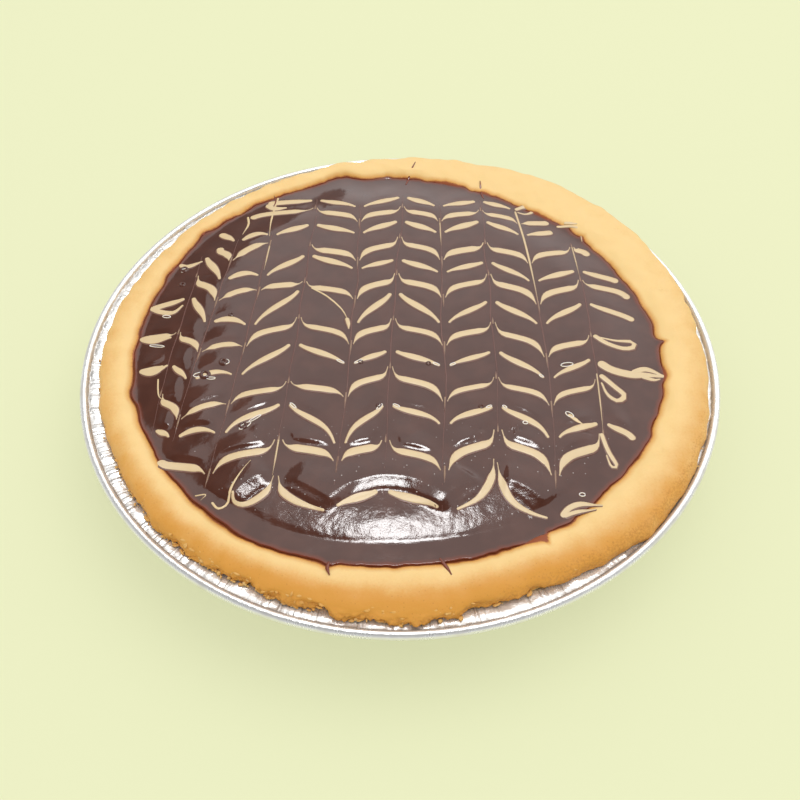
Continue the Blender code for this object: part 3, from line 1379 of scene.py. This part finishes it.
    # Steps in the glaze that face the front: points from left to right, and height
    steps: tuple[tuple[Path, float], ...] = (
        (
            (
                (-19.7, -70.8), (-17.5, -67.6), (-11.9, -64.8), (-5.4, -63.1), (1.3, -63.7),
                (6.9, -65.9), (11.5, -69.3), (14.7, -72.4),
            ),
            1.0,
        ),
        (((14.6, -74.4), (16.5, -69.7), (20.5, -66.7), (24.3, -64.3), (27.0, -61.4)), 0.9),
        (((30.8, -64.5), (33.5, -65.2), (36.6, -66.7), (40.8, -69.9), (42.5, -72.0)), 0.9),
        (((-50.0, -70.5), (-48.0, -67.4), (-44.5, -63.9), (-38.5, -60.6)), 0.9),
        (((-37.6, -61.8), (-30.2, -65.9), (-25.0, -69.6), (-20.6, -73.4)), 0.95),
    )
    # Lengths of drag line that kept some icing: which line, from, to, and width
    drawn_lines: tuple[tuple[int, float, float, float], ...] = (
        (8, 71.0, 14.0, 0.85), (6, 62.0, 48.0, 0.55), (9, 49.0, 30.0, 0.55),
        (9, -18.0, -44.0, 0.55), (3, -46.0, -60.0, 0.60), (2, 48.0, 34.0, 0.60),
    )
    # Bubble rims, pale rings of painted glint: middle, half-length, half-width and direction in degrees
    foam_painted_glints: tuple[tuple[float, float, float, float, float], ...] = (
        (-60.4, -12.8, 1.5, 1.2, 0.0), (-67.8, -18.6, 2.6, 1.0, 12.0),
        (-64.2, -20.2, 1.5, 0.5, 0.0), (-50.4, -40.6, 2.2, 0.8, 40.0),
        (-47.5, -37.6, 2.4, 0.4, 38.0), (57.4, -14.0, 2.2, 0.8, 10.0),
        (55.6, -36.2, 1.6, 0.8, 130.0), (40.8, -39.4, 0.8, 0.6, 0.0),
        (-84.6, 10.4, 1.6, 0.6, 165.0), (-85.5, -4.2, 2.8, 0.5, 170.0),
        (-82.2, 35.5, 1.3, 0.9, 30.0), (56.0, -66.5, 0.9, 0.6, 0.0),
    )

    def bow(
        self, peak: np.ndarray, valley: np.ndarray, cut: Cut, tail: float = 0.18, samples: int = 40
    ) -> np.ndarray:
        """The middle line of a stroke from one drag line to the next.

        Args:
            peak: its end at the line pulled to the back.
            valley: its end at the line pulled to the front.
            cut: how it meets them.
            tail: how much of its fall comes at its valley end, where it is broken.
            samples: how many points to return.

        Returns:
            One row a point, from the peak to the valley.
        """
        share = np.linspace(0, 1, samples)
        if cut is Cut.JOINED:
            fall = 0.30 * (1 - np.exp(-share / 0.05)) + 0.30 * share + 0.40 * np.exp((share - 1) / 0.11)
        else:
            fall = 0.10 * (1 - np.exp(-share / 0.10)) + (0.90 - tail) * share
            fall = fall + tail * np.exp((share - 1) / 0.14)
        fall = (fall - fall[0]) / (fall[-1] - fall[0])
        across = peak[0] + (valley[0] - peak[0]) * share
        return np.column_stack([across, peak[1] + (valley[1] - peak[1]) * fall])

    def arch(self, left: np.ndarray, right: np.ndarray, rise: float, samples: int = 40) -> np.ndarray:
        """The middle line of a stroke between two lines pulled the same way.

        Args:
            left: its left end.
            right: its right end.
            rise: how far its middle stands towards the back.
            samples: how many points to return.

        Returns:
            One row a point.
        """
        share = np.linspace(0, 1, samples)[:, None]
        line = left + (right - left) * share
        return line + np.array([0, rise]) * np.sin(math.pi * share) ** 0.8

    def row_strokes(self, row: IcingRow, random: np.random.Generator) -> list[Stroke]:
        """The strokes of one row.

        Args:
            row: the row.
            random: the source of small unevenness.

        Returns:
            Its strokes.
        """
        made = []
        keep = row.keep or (1.7 if row.cut is Cut.BROKEN else 0.75)
        for number in range(len(self.lines) - 1):
            left, right = self.lines[number], self.lines[number + 1]
            ends = row.heights[number], row.heights[number + 1]
            if None in ends or number in row.gaps:
                continue
            first = np.array([left.x_at(ends[0]) + keep, ends[0]])
            second = np.array([right.x_at(ends[1]) - keep, ends[1]])
            thick = row.thickness * random.uniform(0.9, 1.12)
            if left.towards_front == right.towards_front:
                line = self.arch(first, second, 2.2)
            elif left.towards_front:
                line = self.bow(second, first, row.cut, row.tail)
            else:
                line = self.bow(first, second, row.cut, row.tail)
            made.append(Stroke(line, thick, row.cut, row.cut, relief=row.relief))
        for end, number, side in ((row.left_end, 0, -1), (row.right_end, -1, 1)):
            if end is None:
                continue
            held = [index for index, height in enumerate(row.heights) if height is not None]
            index = held[0] if side < 0 else held[-1]
            drag, height = self.lines[index], row.heights[index]
            meet = np.array([drag.x_at(height) + side * keep, height])
            loose = np.array(end, float)
            if drag.towards_front:
                line = self.bow(loose, meet, row.cut, row.tail)
                made.append(Stroke(line, row.thickness, Cut.BLUNT, row.cut))
            else:
                line = self.bow(meet, loose, row.cut, row.tail)
                made.append(Stroke(line, row.thickness, row.cut, Cut.BLUNT))
        return made

    def drag_marks(self) -> list[Stroke]:
        """The hair lines of icing that the skewer leaves along each pull.

        Returns:
            One mark a pull.
        """
        random = np.random.default_rng(self.seed + 1)
        made = []
        for number, drag in enumerate(self.lines):
            heights = [row.heights[number] for row in self.rows if row.heights[number] is not None]
            y = np.linspace(max(heights) + 1, min(heights) - 2.0, 60)
            wobble = Ripples(50 + number, 25.0, 0.35).at(y, 0 * y)
            line = np.column_stack([drag.x_at(y) + wobble, y])
            body = (0.08 if drag.towards_front else 0.0) * random.uniform(0.8, 1.2)
            made.append(Stroke(line, self.hair_width, body=body, relief=0.0, height=0.04))
        return made

    def stems(self) -> list[Stroke]:
        """The fine tips that run on past the points of the joined rows, and the drawn lengths of line.

        Returns:
            The marks.
        """
        runs = []
        for row in self.rows:
            if row.cut is Cut.JOINED:
                for drag, height in zip(self.lines, row.heights):
                    if height is not None:
                        run = np.linspace(*((2.0, -5.0) if drag.towards_front else (-1.0, 2.5)), 16)
                        runs.append((drag, height + run, self.stem_width, 0.34, 0.06))
        for number, first, last, width in self.drawn_lines:
            runs.append((self.lines[number], np.linspace(first, last, 60), width, 0.80, 0.10))
        return [
            Stroke(np.column_stack([drag.x_at(y), y]), width, Cut.BLUNT, Cut.BROKEN, body, 0.0, height)
            for drag, y, width, body, height in runs
        ]

    def borders(self, strokes: list[Stroke]) -> list[Stroke]:
        """The thin brown edge round each mark, wider on its front side.

        Args:
            strokes: the marks.

        Returns:
            One wider and lower mark for each that is not a hair.
        """
        return [
            replace(
                stroke,
                line=stroke.line + np.array([0.0, self.border_shift]),
                width=stroke.width + self.border_spread,
                body=0.16,
                relief=0.0,
                height=0.06,
            )
            for stroke in strokes
            if stroke.width > 1.4
        ]

    def free_strokes(self) -> list[Stroke]:
        """The loops, swirls and smears at the ends of the rows.

        Returns:
            The marks.
        """
        return [
            Stroke(smooth_curve(np.array(points), 40), width, Cut.BLUNT, relief=0.15)
            for points, width in self.loops
        ]

    def swept_strokes(self) -> list[Stroke]:
        """The last row's marks that sweep round from a fine point towards the back.

        Returns:
            The marks.
        """
        return [
            Stroke(smooth_curve(np.array(points), 40), width, Cut.JOINED, relief=0.0)
            for points, width in self.sweeps
        ]

    def foam_painted_glint_rings(self) -> list[Stroke]:
        """The pale rims of the bubbles that sit at the ends of some marks, as painted glints.

        Returns:
            One closed mark a bubble.
        """
        rings = [*self.foam_painted_glints]
        for row in self.rows:
            if row.foam_painted_glints is not FoamPaintedGlints.NONE:
                rings += self.end_rings(row)
        made = []
        for x, y, half_length, half_width, turn_deg in rings:
            around = np.linspace(0, 2 * math.pi, 28)
            along, across = half_length * np.cos(around), half_width * np.sin(around)
            cos, sin = math.cos(math.radians(turn_deg)), math.sin(math.radians(turn_deg))
            line = np.column_stack([x + along * cos - across * sin, y + along * sin + across * cos])
            # A body of 3.0 makes the ring pale, a painted glint
            made.append(Stroke(line, self.ring_width, Cut.BLUNT, Cut.BLUNT, 3.0, 0.0, 0.24))
        return made

    def end_rings(self, row: IcingRow) -> list[tuple[float, float, float, float, float]]:
        """The bubbles, as rings of painted glint, at one end of each of a row's inner marks.

        Args:
            row: the row.

        Returns:
            Each bubble's middle, half-length, half-width and direction in degrees.
        """
        random = np.random.default_rng(self.seed + 2)
        keep, half_width, rise = 1.9, 0.42, 0.35
        rings = []
        for number in range(3, len(self.lines) - 2):
            low, high = row.heights[number], row.heights[number + 1]
            left, right = self.lines[number].x_at(low) + keep, self.lines[number + 1].x_at(high) - keep
            slope = math.atan2(high - low, right - left)
            at_left = (high > low) == (row.foam_painted_glints is FoamPaintedGlints.VALLEYS)
            x, y = (left, low) if at_left else (right, high)
            size = random.uniform(0.8, 1.7)
            along = size * (0.9 if at_left else -0.9)
            x, y = x + along * math.cos(slope), y + along * math.sin(slope) + rise
            rings.append((x, y, size, half_width, math.degrees(slope)))
        return rings

    def strokes(self) -> list[Stroke]:
        """All the marks.

        Returns:
            The marks in the order that they are made.
        """
        random = np.random.default_rng(self.seed)
        made = [stroke for row in self.rows for stroke in self.row_strokes(row, random)]
        made = made + self.swept_strokes() + self.free_strokes()
        return made + self.foam_painted_glint_rings() + self.stems() + self.drag_marks() + self.borders(made)

    def step_profile(self, x: np.ndarray, y: np.ndarray, line: np.ndarray) -> np.ndarray:
        """A step that falls towards the front: a steep face, a narrow lip and a slope behind it.

        Args:
            x: first coordinates in millimetres.
            y: second coordinates.
            line: the step's lip, from left to right.

        Returns:
            The height at each point.
        """
        nearest, distance, away_x, away_y = nearest_on(line, x, y)
        heading_x, heading_y = np.gradient(line, axis=0)[nearest].T
        behind = distance * np.sign(heading_x * away_y - heading_y * away_x)
        share = nearest / (len(line) - 1)
        end = 0.24
        ends = smooth_step(share / end) * smooth_step((1 - share) / end)
        # The face grows less steep up to the lip, and the slope behind it grows steeper again
        up_face = np.clip(behind / self.step_face + 1, 0, 1)
        up_slope = np.clip(behind / self.step_slope, 0, 1)
        change = (self.steep - self.gentle) / 2
        rise = self.step_face * (self.steep * up_face - change * up_face**2)
        rise = rise + self.step_slope * (self.gentle * up_slope + change * up_slope**2)
        return ends * rise * hump(np.maximum(behind - self.step_slope, 0), self.step_fade)

    def relief(self, x: np.ndarray, y: np.ndarray, strokes: list[Stroke]) -> np.ndarray:
        """How the pulled icing raises and lowers the glaze.

        Args:
            x: first coordinates in millimetres.
            y: second coordinates.
            strokes: the marks.

        Returns:
            The change in height at each point.
        """
        change = np.zeros_like(x)
        reach, crest_at, least_length = self.relief_reach, 2.4, 3.0
        for stroke in strokes:
            first_x, last_x = stroke.line[0, 0], stroke.line[-1, 0]
            low, high = stroke.line.min(axis=0) - reach, stroke.line.max(axis=0) + reach
            near = np.flatnonzero((x > low[0]) & (x < high[0]) & (y > low[1]) & (y < high[1]))
            if stroke.relief == 0.0 or abs(last_x - first_x) < least_length or not len(near):
                continue
            _, gap, _, away_y = nearest_on(stroke.line, x[near], y[near])
            share = np.clip((x[near] - first_x) / (last_x - first_x), 0.0, 1.0)
            ends = np.sin(math.pi * share) ** 1.1
            # The marks at the front and at the front left have pulled up the glaze behind them most
            middle_x, middle_y = stroke.line.mean(axis=0)
            front = smooth_step((-22.0 - middle_y) / 42.0)
            left = smooth_step((-38.0 - middle_x) / 26.0) * smooth_step((10.0 - middle_y) / 26.0)
            scarp = (0.10 + 0.66 * front + 0.28 * left * (1 - front)) * stroke.relief * ends
            past = gap - stroke.width * 0.45
            crest = np.clip(past / crest_at, 0, 1) ** 1.8 * hump(np.maximum(past - crest_at, 0), 4.4)
            crest = crest * smooth_step((reach - 1.0 - gap) / 4.0)
            change[near] += np.where(away_y > 0, scarp * crest, -0.15 * scarp * hump(gap, 2.0))
        for points, height in self.steps:
            change += height * self.step_profile(x, y, smooth_curve(np.array(points), 80))
        return self.relief_limit * np.tanh(change / self.relief_limit)


def lay_along(stroke: Stroke, ball: np.ndarray) -> tuple[np.ndarray, np.ndarray, np.ndarray]:
    """Lays a ball's points out along a stroke, pole to pole.

    Args:
        stroke: the mark to follow.
        ball: the ball's points, one row each.

    Returns:
        Where each point goes on the glaze, how far above it, and how much icing is there.
    """
    share = (1 - np.clip(ball[:, 2], -1, 1)) / 2
    ring = np.maximum(1e-6, np.hypot(ball[:, 0], ball[:, 1]))
    pole = np.abs(ball[:, 2]) > 0.99999
    across = np.where(pole, 0.0, ball[:, 0] / ring)
    up = np.where(pole, 0.0, ball[:, 1] / ring)
    along = stroke.lengths() / stroke.lengths()[-1]
    heading = np.gradient(stroke.line, axis=0)
    heading /= np.hypot(*heading.T)[:, None]
    middle_x, middle_y, side_y, side_x = (
        np.interp(share, along, values) for values in (*stroke.line.T, *heading.T)
    )
    width = stroke.widths(share)
    aside = across * width / 2
    flat = np.column_stack([middle_x - side_x * aside, middle_y + side_y * aside])
    thin = np.clip(width / stroke.width, 0, 1) ** 0.5
    lift = np.where(up > 0, stroke.height * np.abs(up) ** 0.7 * thin, -0.5 * np.abs(up))
    rim = 1 - 0.75 * smooth_step((np.abs(across) - 0.80) / 0.2)
    return flat, lift, stroke.body * rim * (0.35 + 0.65 * smooth_step(width / 0.9))


@dataclass
class CaramelIcing:
    """The icing's marks as raised beads of their own."""

    glaze: "ChocolateGlaze"
    round_parts: int = 12
    long_parts: int = 24

    def build(self, finish: bpy.types.Material) -> bpy.types.Object:
        """Makes the icing.

        Args:
            finish: its material.

        Returns:
            The icing.
        """
        shape = bmesh.new()
        shape.verts.layers.float.new("body")
        one = bmesh.new()
        bmesh.ops.create_uvsphere(one, u_segments=self.round_parts, v_segments=self.long_parts, radius=1.0)
        ball = read_points(one)
        bead = bpy.data.meshes.new("bead")
        one.to_mesh(bead)
        one.free()
        laid = []
        for stroke in self.glaze.strokes:
            shape.from_mesh(bead)
            laid.append(lay_along(stroke, ball))
        bpy.data.meshes.remove(bead)
        flat, lift, body = (np.concatenate(parts) for parts in zip(*laid))
        height = self.glaze.height(flat[:, 0], flat[:, 1]) + lift
        write_points(shape, np.column_stack([flat, height]))
        write_layer(shape, "body", body)
        bmesh.ops.recalc_face_normals(shape, faces=shape.faces)
        return new_piece("feathered_icing", shape, finish)


# ------------------------------------------------------------------ the chocolate glaze


def disc_grid(u: np.ndarray, v: np.ndarray) -> tuple[np.ndarray, np.ndarray]:
    """Bends a square grid into a disc, so that its squares become rings.

    Args:
        u: first coordinates in the square, from -1 to 1.
        v: second coordinates.

    Returns:
        Each point's share of the way outwards, and its angle in radians.
    """
    wide = np.abs(u) > np.abs(v)
    share = np.where(wide, np.abs(u), np.abs(v))
    safe = np.where(wide, np.where(u == 0, 1, u), np.where(v == 0, 1, v))
    angle = np.where(wide, math.pi / 4 * v / safe, math.pi / 2 - math.pi / 4 * u / safe)
    return share, np.where(safe < 0, angle + math.pi, angle)


@dataclass
class ChocolateGlaze:
    """The chocolate filling with its glossy top."""

    form: TartForm
    pattern: IcingPattern
    cells: int = 300
    calm_edge: float = 1.0
    calm_run: float = 4.0
    thin_edge: float = 3.6
    # Where the front of the glaze gets streaky and frothy, with painted glints
    froth_y: float = -28.0
    froth_run: float = 45.0
    froth_edge: float = 7.0
    froth_fade: float = 3.0
    # The hidden sides: how far inside the glaze's meeting line, and how high
    sides: Path = ((-1.9, 29.7), (-5.0, 26.4), (-12.3, 8.0), (-16.3, 5.8))
    strokes: list[Stroke] = field(default_factory=list)

    def __post_init__(self) -> None:
        """Works out the marks of icing once."""
        self.strokes = self.pattern.strokes()

    def height(self, x: np.ndarray, y: np.ndarray) -> np.ndarray:
        """Height of the finished glaze over a point.

        Args:
            x: first coordinates in millimetres.
            y: second coordinates.

        Returns:
            The heights in millimetres.
        """
        angle = np.arctan2(y, x)
        inward = self.form.inner_radius(angle) - np.hypot(x, y)
        calm = smooth_step((inward - self.calm_edge) / self.calm_run)
        pulled = calm * self.pattern.relief(x, y, self.strokes)
        return self.form.glaze_base(x, y) + pulled

    def build(self, finish: bpy.types.Material) -> bpy.types.Object:
        """Makes the filling: a fine round sheet for its top and plain sides and bottom below.

        Args:
            finish: its material.

        Returns:
            The filling.
        """
        shape = bmesh.new()
        for name in ("depth", "froth_and_painted_glints"):
            shape.verts.layers.float.new(name)
        bmesh.ops.create_grid(shape, x_segments=self.cells, y_segments=self.cells, size=1.0)
        spot = read_points(shape)
        share, angle = disc_grid(spot[:, 0], spot[:, 1])
        edge = self.form.glaze_radius(angle)
        radius = share * edge
        x, y = radius * np.cos(angle), radius * np.sin(angle)
        write_points(shape, np.column_stack([x, y, self.height(x, y)]))
        write_layer(shape, "depth", np.clip((edge - radius) / self.thin_edge, 0, 1))
        inward = self.form.inner_radius(angle) - radius
        froth_and_painted_glints = smooth_step((self.froth_y - y) / self.froth_run)
        froth_and_painted_glints = froth_and_painted_glints * smooth_step((inward - self.froth_edge) / self.froth_fade)
        write_layer(shape, "froth_and_painted_glints", froth_and_painted_glints)
        rim = [edge for edge in shape.edges if edge.is_boundary]
        for inset, height in self.sides:
            grown = bmesh.ops.extrude_edge_only(shape, edges=rim)["geom"]
            points = [part for part in grown if isinstance(part, bmesh.types.BMVert)]
            rim = [part for part in grown if isinstance(part, bmesh.types.BMEdge)]
            for point in points:
                turn = math.atan2(point.co.y, point.co.x)
                out = float(self.form.inner_radius(np.float64(turn))) + inset
                point.co = (out * math.cos(turn), out * math.sin(turn), height)
        bmesh.ops.contextual_create(shape, geom=rim)
        bmesh.ops.recalc_face_normals(shape, faces=shape.faces)
        made = new_piece("chocolate_glazed_filling", shape, finish)
        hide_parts("chocolate_filling")
        return made


@dataclass
class GlazeDrops:
    """Bubbles in the glaze, and the thin tails of chocolate on the crust."""

    glaze: ChocolateGlaze
    # Bubbles: middle and radius
    bubbles: tuple[tuple[float, float, float], ...] = (
        (-61.0, -12.8, 1.5), (-61.0, 10.2, 1.0), (-82.3, 36.0, 1.6), (-81.6, 27.5, 1.2),
        (-66.5, -18.6, 1.9), (-51.0, -40.5, 1.5), (-13.6, -12.6, 0.9), (9.8, -13.2, 0.9),
        (-7.0, -31.6, 1.0), (27.0, -32.4, 1.0),
    )
    # A low dome with a small open pit in its top, as shares of its radius
    profile: Path = (
        (1.5, -0.3), (1.12, 0.02), (0.95, 0.20), (0.70, 0.30), (0.50, 0.22), (0.3, 0.0),
        (0.0, -0.1),
    )
    tail_height: float = 0.22
    tail_depth: float = 0.04
    # Tails on the crust: points and width
    tails: tuple[tuple[Path, float], ...] = (
        (((2.4, 88.5), (4.0, 93.5), (6.6, 101.0)), 1.0),
        (((34.4, 79.0), (33.6, 83.5), (33.4, 88.5)), 1.0),
        (((-51.5, 73.5), (-51.0, 77.5), (-52.0, 80.5)), 0.7),
        (((-20.6, -89.5), (-21.0, -92.0), (-20.2, -94.5)), 1.2),
        (((11.6, -88.4), (13.6, -92.0), (14.8, -94.6)), 1.2),
        (((41.0, -82.0), (42.5, -84.5)), 1.8),
    )

    def build(self, finish: bpy.types.Material) -> bpy.types.Object:
        """Makes the bubbles and tails as one piece.

        Args:
            finish: their material.

        Returns:
            The piece.
        """
        shape = bmesh.new()
        for name in ("depth", "froth_and_painted_glints"):
            shape.verts.layers.float.new(name)
        layer = shape.verts.layers.float["depth"]
        spots = np.array(self.bubbles)
        ground = self.glaze.height(spots[:, 0], spots[:, 1])
        for (x, y, radius), height in zip(self.bubbles, ground):
            points = [shape.verts.new((reach * radius, 0, rise * radius)) for reach, rise in self.profile]
            edges = [shape.edges.new(pair) for pair in zip(points, points[1:])]
            bmesh.ops.spin(
                shape,
                geom=points + edges,
                cent=(0, 0, 0),
                axis=(0, 0, 1),
                angle=2 * math.pi,
                steps=20,
                use_merge=True,
            )
            fresh = [point for point in shape.verts if point[layer] == 0.0]
            bmesh.ops.remove_doubles(shape, verts=fresh, dist=0.001)
            fresh = [point for point in shape.verts if point[layer] == 0.0]
            bmesh.ops.translate(shape, vec=(x, y, height), verts=fresh)
            for point in fresh:
                point[layer] = 1.0
        for line, width in self.tails:
            stroke = Stroke(smooth_curve(np.array(line), 24), width, height=self.tail_height)
            made = bmesh.ops.create_uvsphere(shape, u_segments=10, v_segments=14, radius=1.0)["verts"]
            flat, lift, _ = lay_along(stroke, np.array([point.co for point in made]))
            ground = np.maximum(self.glaze.form.crust_top(*flat.T), self.glaze.height(*flat.T))
            for point, place, height in zip(made, flat, np.minimum(ground + lift, self.glaze.form.top_z)):
                point.co = (*place, height)
                point[layer] = self.tail_depth
        bmesh.ops.recalc_face_normals(shape, faces=shape.faces)
        return new_piece("glaze_bubbles_and_tails", shape, finish)


@dataclass
class Crumbs:
    """Loose crumbs of pastry on the flange and the crust's foot."""

    form: TartForm
    count: int = 110
    flakes: int = 120
    furthest: float = 108.8
    flange_start: tuple[float, float] = (104.5, 26.95)
    flange_slope: float = 0.17
    flake_furthest: float = 108.3
    flake_z: float = 27.4
    seed: int = 21

    def add(
        self,
        shape: bmesh.types.BMesh,
        ball: list[bmesh.types.BMVert],
        form: Matrix,
        rough: tuple[float, float],
        colour: tuple[float, float],
        place: tuple[float, float, float],
        random: np.random.Generator,
    ) -> None:
        """Makes a small ball an uneven crumb and puts it in its place.

        Args:
            shape: the mesh that it is part of.
            ball: its points, round the origin.
            form: how it is stretched and turned.
            rough: the least and the most that a point is moved in or out.
            colour: how baked it is, and the most that a point is singed.
            place: where it lies.
            random: the source of its unevenness.
        """
        bake_and_shade, singe_and_shade = (shape.verts.layers.float[name] for name in ("bake_and_shade", "singe_and_shade"))
        for point in ball:
            point.co = form @ point.co * random.uniform(*rough)
            point[bake_and_shade] = colour[0]
            point[singe_and_shade] = random.uniform(0.0, colour[1])
        bmesh.ops.translate(shape, vec=place, verts=ball)

    def build(self, finish: bpy.types.Material) -> bpy.types.Object:
        """Makes the crumbs.

        Args:
            finish: their material.

        Returns:
            The crumbs.
        """
        random = np.random.default_rng(self.seed)
        shape = bmesh.new()
        for name in ("bake_and_shade", "singe_and_shade"):
            shape.verts.layers.float.new(name)
        start_r, start_z = self.flange_start
        for _ in range(self.count):
            turn = math.radians(random.normal(232, 24) if random.random() < 0.85 else random.uniform(0, 360))
            edge = float(self.form.outer_radius(np.float64(turn)))
            size = 0.22 + 0.55 * random.random() ** 3
            out = edge + random.uniform(-0.3, 1.2) * random.random() + size * 0.3
            out = min(out, self.furthest)
            height = start_z + self.flange_slope * (out - start_r) + size * 0.5
            ball = bmesh.ops.create_icosphere(shape, subdivisions=1, radius=size)["verts"]
            form = Matrix.Diagonal(random.uniform(0.5, 1.5, 3))
            place = (out * math.cos(turn), out * math.sin(turn), height)
            self.add(shape, ball, form, (0.8, 1.15), (0.5, 0.4), place, random)
        for _ in range(self.flakes):
            turn = math.radians(random.normal(250, 20))
            edge = float(self.form.outer_radius(np.float64(turn)))
            out = min(edge + random.uniform(-1.6, 0.9), self.flake_furthest)
            ahead, aside = math.cos(turn), math.sin(turn)
            inside = min(out, edge)
            on_crust = float(self.form.crust_top(np.array(inside * ahead), np.array(inside * aside)))
            height = on_crust - 0.5 if out < edge else self.flake_z
            long, wide = random.uniform(0.5, 1.8), random.uniform(0.3, 0.8)
            ball = bmesh.ops.create_icosphere(shape, subdivisions=2, radius=1.0)["verts"]
            lean = Matrix.Rotation(turn + math.pi / 2 + random.normal(0, 0.5), 3, "Z")
            tip = Matrix.Rotation(random.normal(0.6 if out < edge else 0.1, 0.3), 3, "X")
            form = lean @ tip @ Matrix.Diagonal((long, wide, 0.22))
            place = (out * ahead, out * aside, height)
            self.add(shape, ball, form, (0.75, 1.2), (0.75, 0.25), place, random)
        return new_piece("pastry_crumbs", shape, finish)


# ------------------------------------------------------------------ studio


@dataclass(frozen=True)
class SoftLamp:
    """A round or square studio lamp that points at the tart."""

    name: str
    place: tuple[float, float, float]
    width: float
    depth: float
    brightness: float
    lights_surfaces: bool = True
    seen_in_gloss: bool = True

    def build(self) -> None:
        """Makes the lamp."""
        data = bpy.data.lights.new(self.name, "AREA")
        data.shape = "ELLIPSE" if self.width == self.depth else "RECTANGLE"
        data.size, data.size_y = self.width, self.depth
        area = self.width * self.depth * (math.pi / 4 if self.width == self.depth else 1)
        data.energy = self.brightness * math.pi * area
        lamp = bpy.data.objects.new(self.name, data)
        bpy.context.scene.collection.objects.link(lamp)
        lamp.location = self.place
        lamp.rotation_euler = (-Vector(self.place)).to_track_quat("-Z", "Y").to_euler()
        lamp.visible_camera = False
        lamp.visible_diffuse = self.lights_surfaces
        lamp.visible_glossy = self.seen_in_gloss


@dataclass(frozen=True)
class Studio:
    """The pale floor, the lamps, the room's light and the camera."""

    floor_size: float = 14.0
    floor_colour: Colour = (0.863, 0.888, 0.571)
    floor_glow: float = 0.50  # the floor's own light, which keeps its shadows faint
    floor_albedo: float = 0.42
    room_light: float = 1.02
    ceiling_gloss: float = 0.08
    horizon_gloss: float = 0.66
    camera_place: tuple[float, float, float] = (0.0, -0.2178, 0.2594)
    camera_tilt_deg: float = 39.687
    lens_mm: float = 39.83
    sensor_mm: float = 36.0
    # How far upwards glossy rays look where the room is brightest and where it is darkest
    gloss_heights: tuple[float, float] = (0.2, 0.85)
    lamps: tuple[SoftLamp, ...] = (
        SoftLamp("overhead_lamp", (0.01, 0.413, 1.442), 0.31, 0.31, 26.0, False),
        SoftLamp("back_panel", (0.78, 1.45, 1.95), 3.4, 3.0, 1.47, False),
        SoftLamp("overhead_fill", (0.6, 0.4, 1.9), 2.0, 2.0, 0.95, True, False),
    )

    def build(self) -> None:
        """Makes the studio."""
        bpy.context.scene.view_settings.view_transform = "Standard"
        self.build_floor()
        for lamp in self.lamps:
            lamp.build()
        self.build_room()
        self.build_camera()

    def build_floor(self) -> None:
        """Makes the pale floor."""
        sheet = bmesh.new()
        bmesh.ops.create_grid(sheet, x_segments=1, y_segments=1, size=self.floor_size / 2)
        mesh = bpy.data.meshes.new("studio_floor")
        sheet.to_mesh(mesh)
        sheet.free()
        floor = bpy.data.objects.new("studio_floor", mesh)
        bpy.context.scene.collection.objects.link(floor)
        material = Finish("pale_floor").dress(
            Base_Color=tuple(part * self.floor_albedo for part in self.floor_colour),
            Roughness=0.9,
            Specular_IOR_Level=0.0,
            Emission_Color=self.floor_colour,
            Emission_Strength=self.floor_glow,
        )
        mesh.materials.append(material)

    def build_room(self) -> None:
        """Makes the room's light: even on dull surfaces, darker overhead in glossy ones."""
        world = bpy.data.worlds.new("room")
        world.use_nodes = True
        room = Nodes(world.node_tree)
        direction = room.node("ShaderNodeTexCoord", {}, {}, "Generated")
        upward = room.node("ShaderNodeSeparateXYZ", {}, {"Vector": direction}, "Z")
        low, high = self.gloss_heights
        heights = {"Value": upward, "From Min": low, "From Max": high}
        levels = {"To Min": self.horizon_gloss, "To Max": self.ceiling_gloss}
        gloss = room.node("ShaderNodeMapRange", {}, heights | levels)
        in_gloss = room.node("ShaderNodeLightPath", {}, {}, "Is Glossy Ray")
        seen = room.node("ShaderNodeLightPath", {}, {}, "Is Camera Ray")
        level = room.node("ShaderNodeMix", {}, {"Factor": in_gloss, "A": self.room_light, "B": gloss})
        background = room.tree.nodes["Background"]
        room.feed(background.inputs["Color"], room.blend(seen, (1.0, 1.0, 1.0), self.floor_colour))
        room.feed(background.inputs["Strength"], level)
        bpy.context.scene.world = world

    def build_camera(self) -> None:
        """Makes the camera."""
        data = bpy.data.cameras.new("camera")
        data.lens, data.sensor_width = self.lens_mm, self.sensor_mm
        data.clip_start, data.clip_end = 0.01, 50.0
        camera = bpy.data.objects.new("camera", data)
        bpy.context.scene.collection.objects.link(camera)
        camera.location = self.camera_place
        camera.rotation_euler = (math.radians(self.camera_tilt_deg), 0.0, 0.0)
        bpy.context.scene.camera = camera


def main() -> None:
    """Builds the tart and its studio."""
    logging.basicConfig(level=logging.INFO, format="%(name)s: %(message)s")
    form = TartForm()
    pattern = IcingPattern()
    Studio().build()
    pastry, chocolate = PastryFinish().make(), GlazeFinish().make()
    FoilDish().build(FoilFinish().make())
    PastryCrust(form).build(pastry)
    glaze = ChocolateGlaze(form, pattern)
    glaze.build(chocolate)
    GlazeDrops(glaze).build(chocolate)
    CaramelIcing(glaze).build(IcingFinish().make())
    Crumbs(form).build(pastry)
    bpy.context.view_layer.update()


if __name__ == "__main__":
    main()
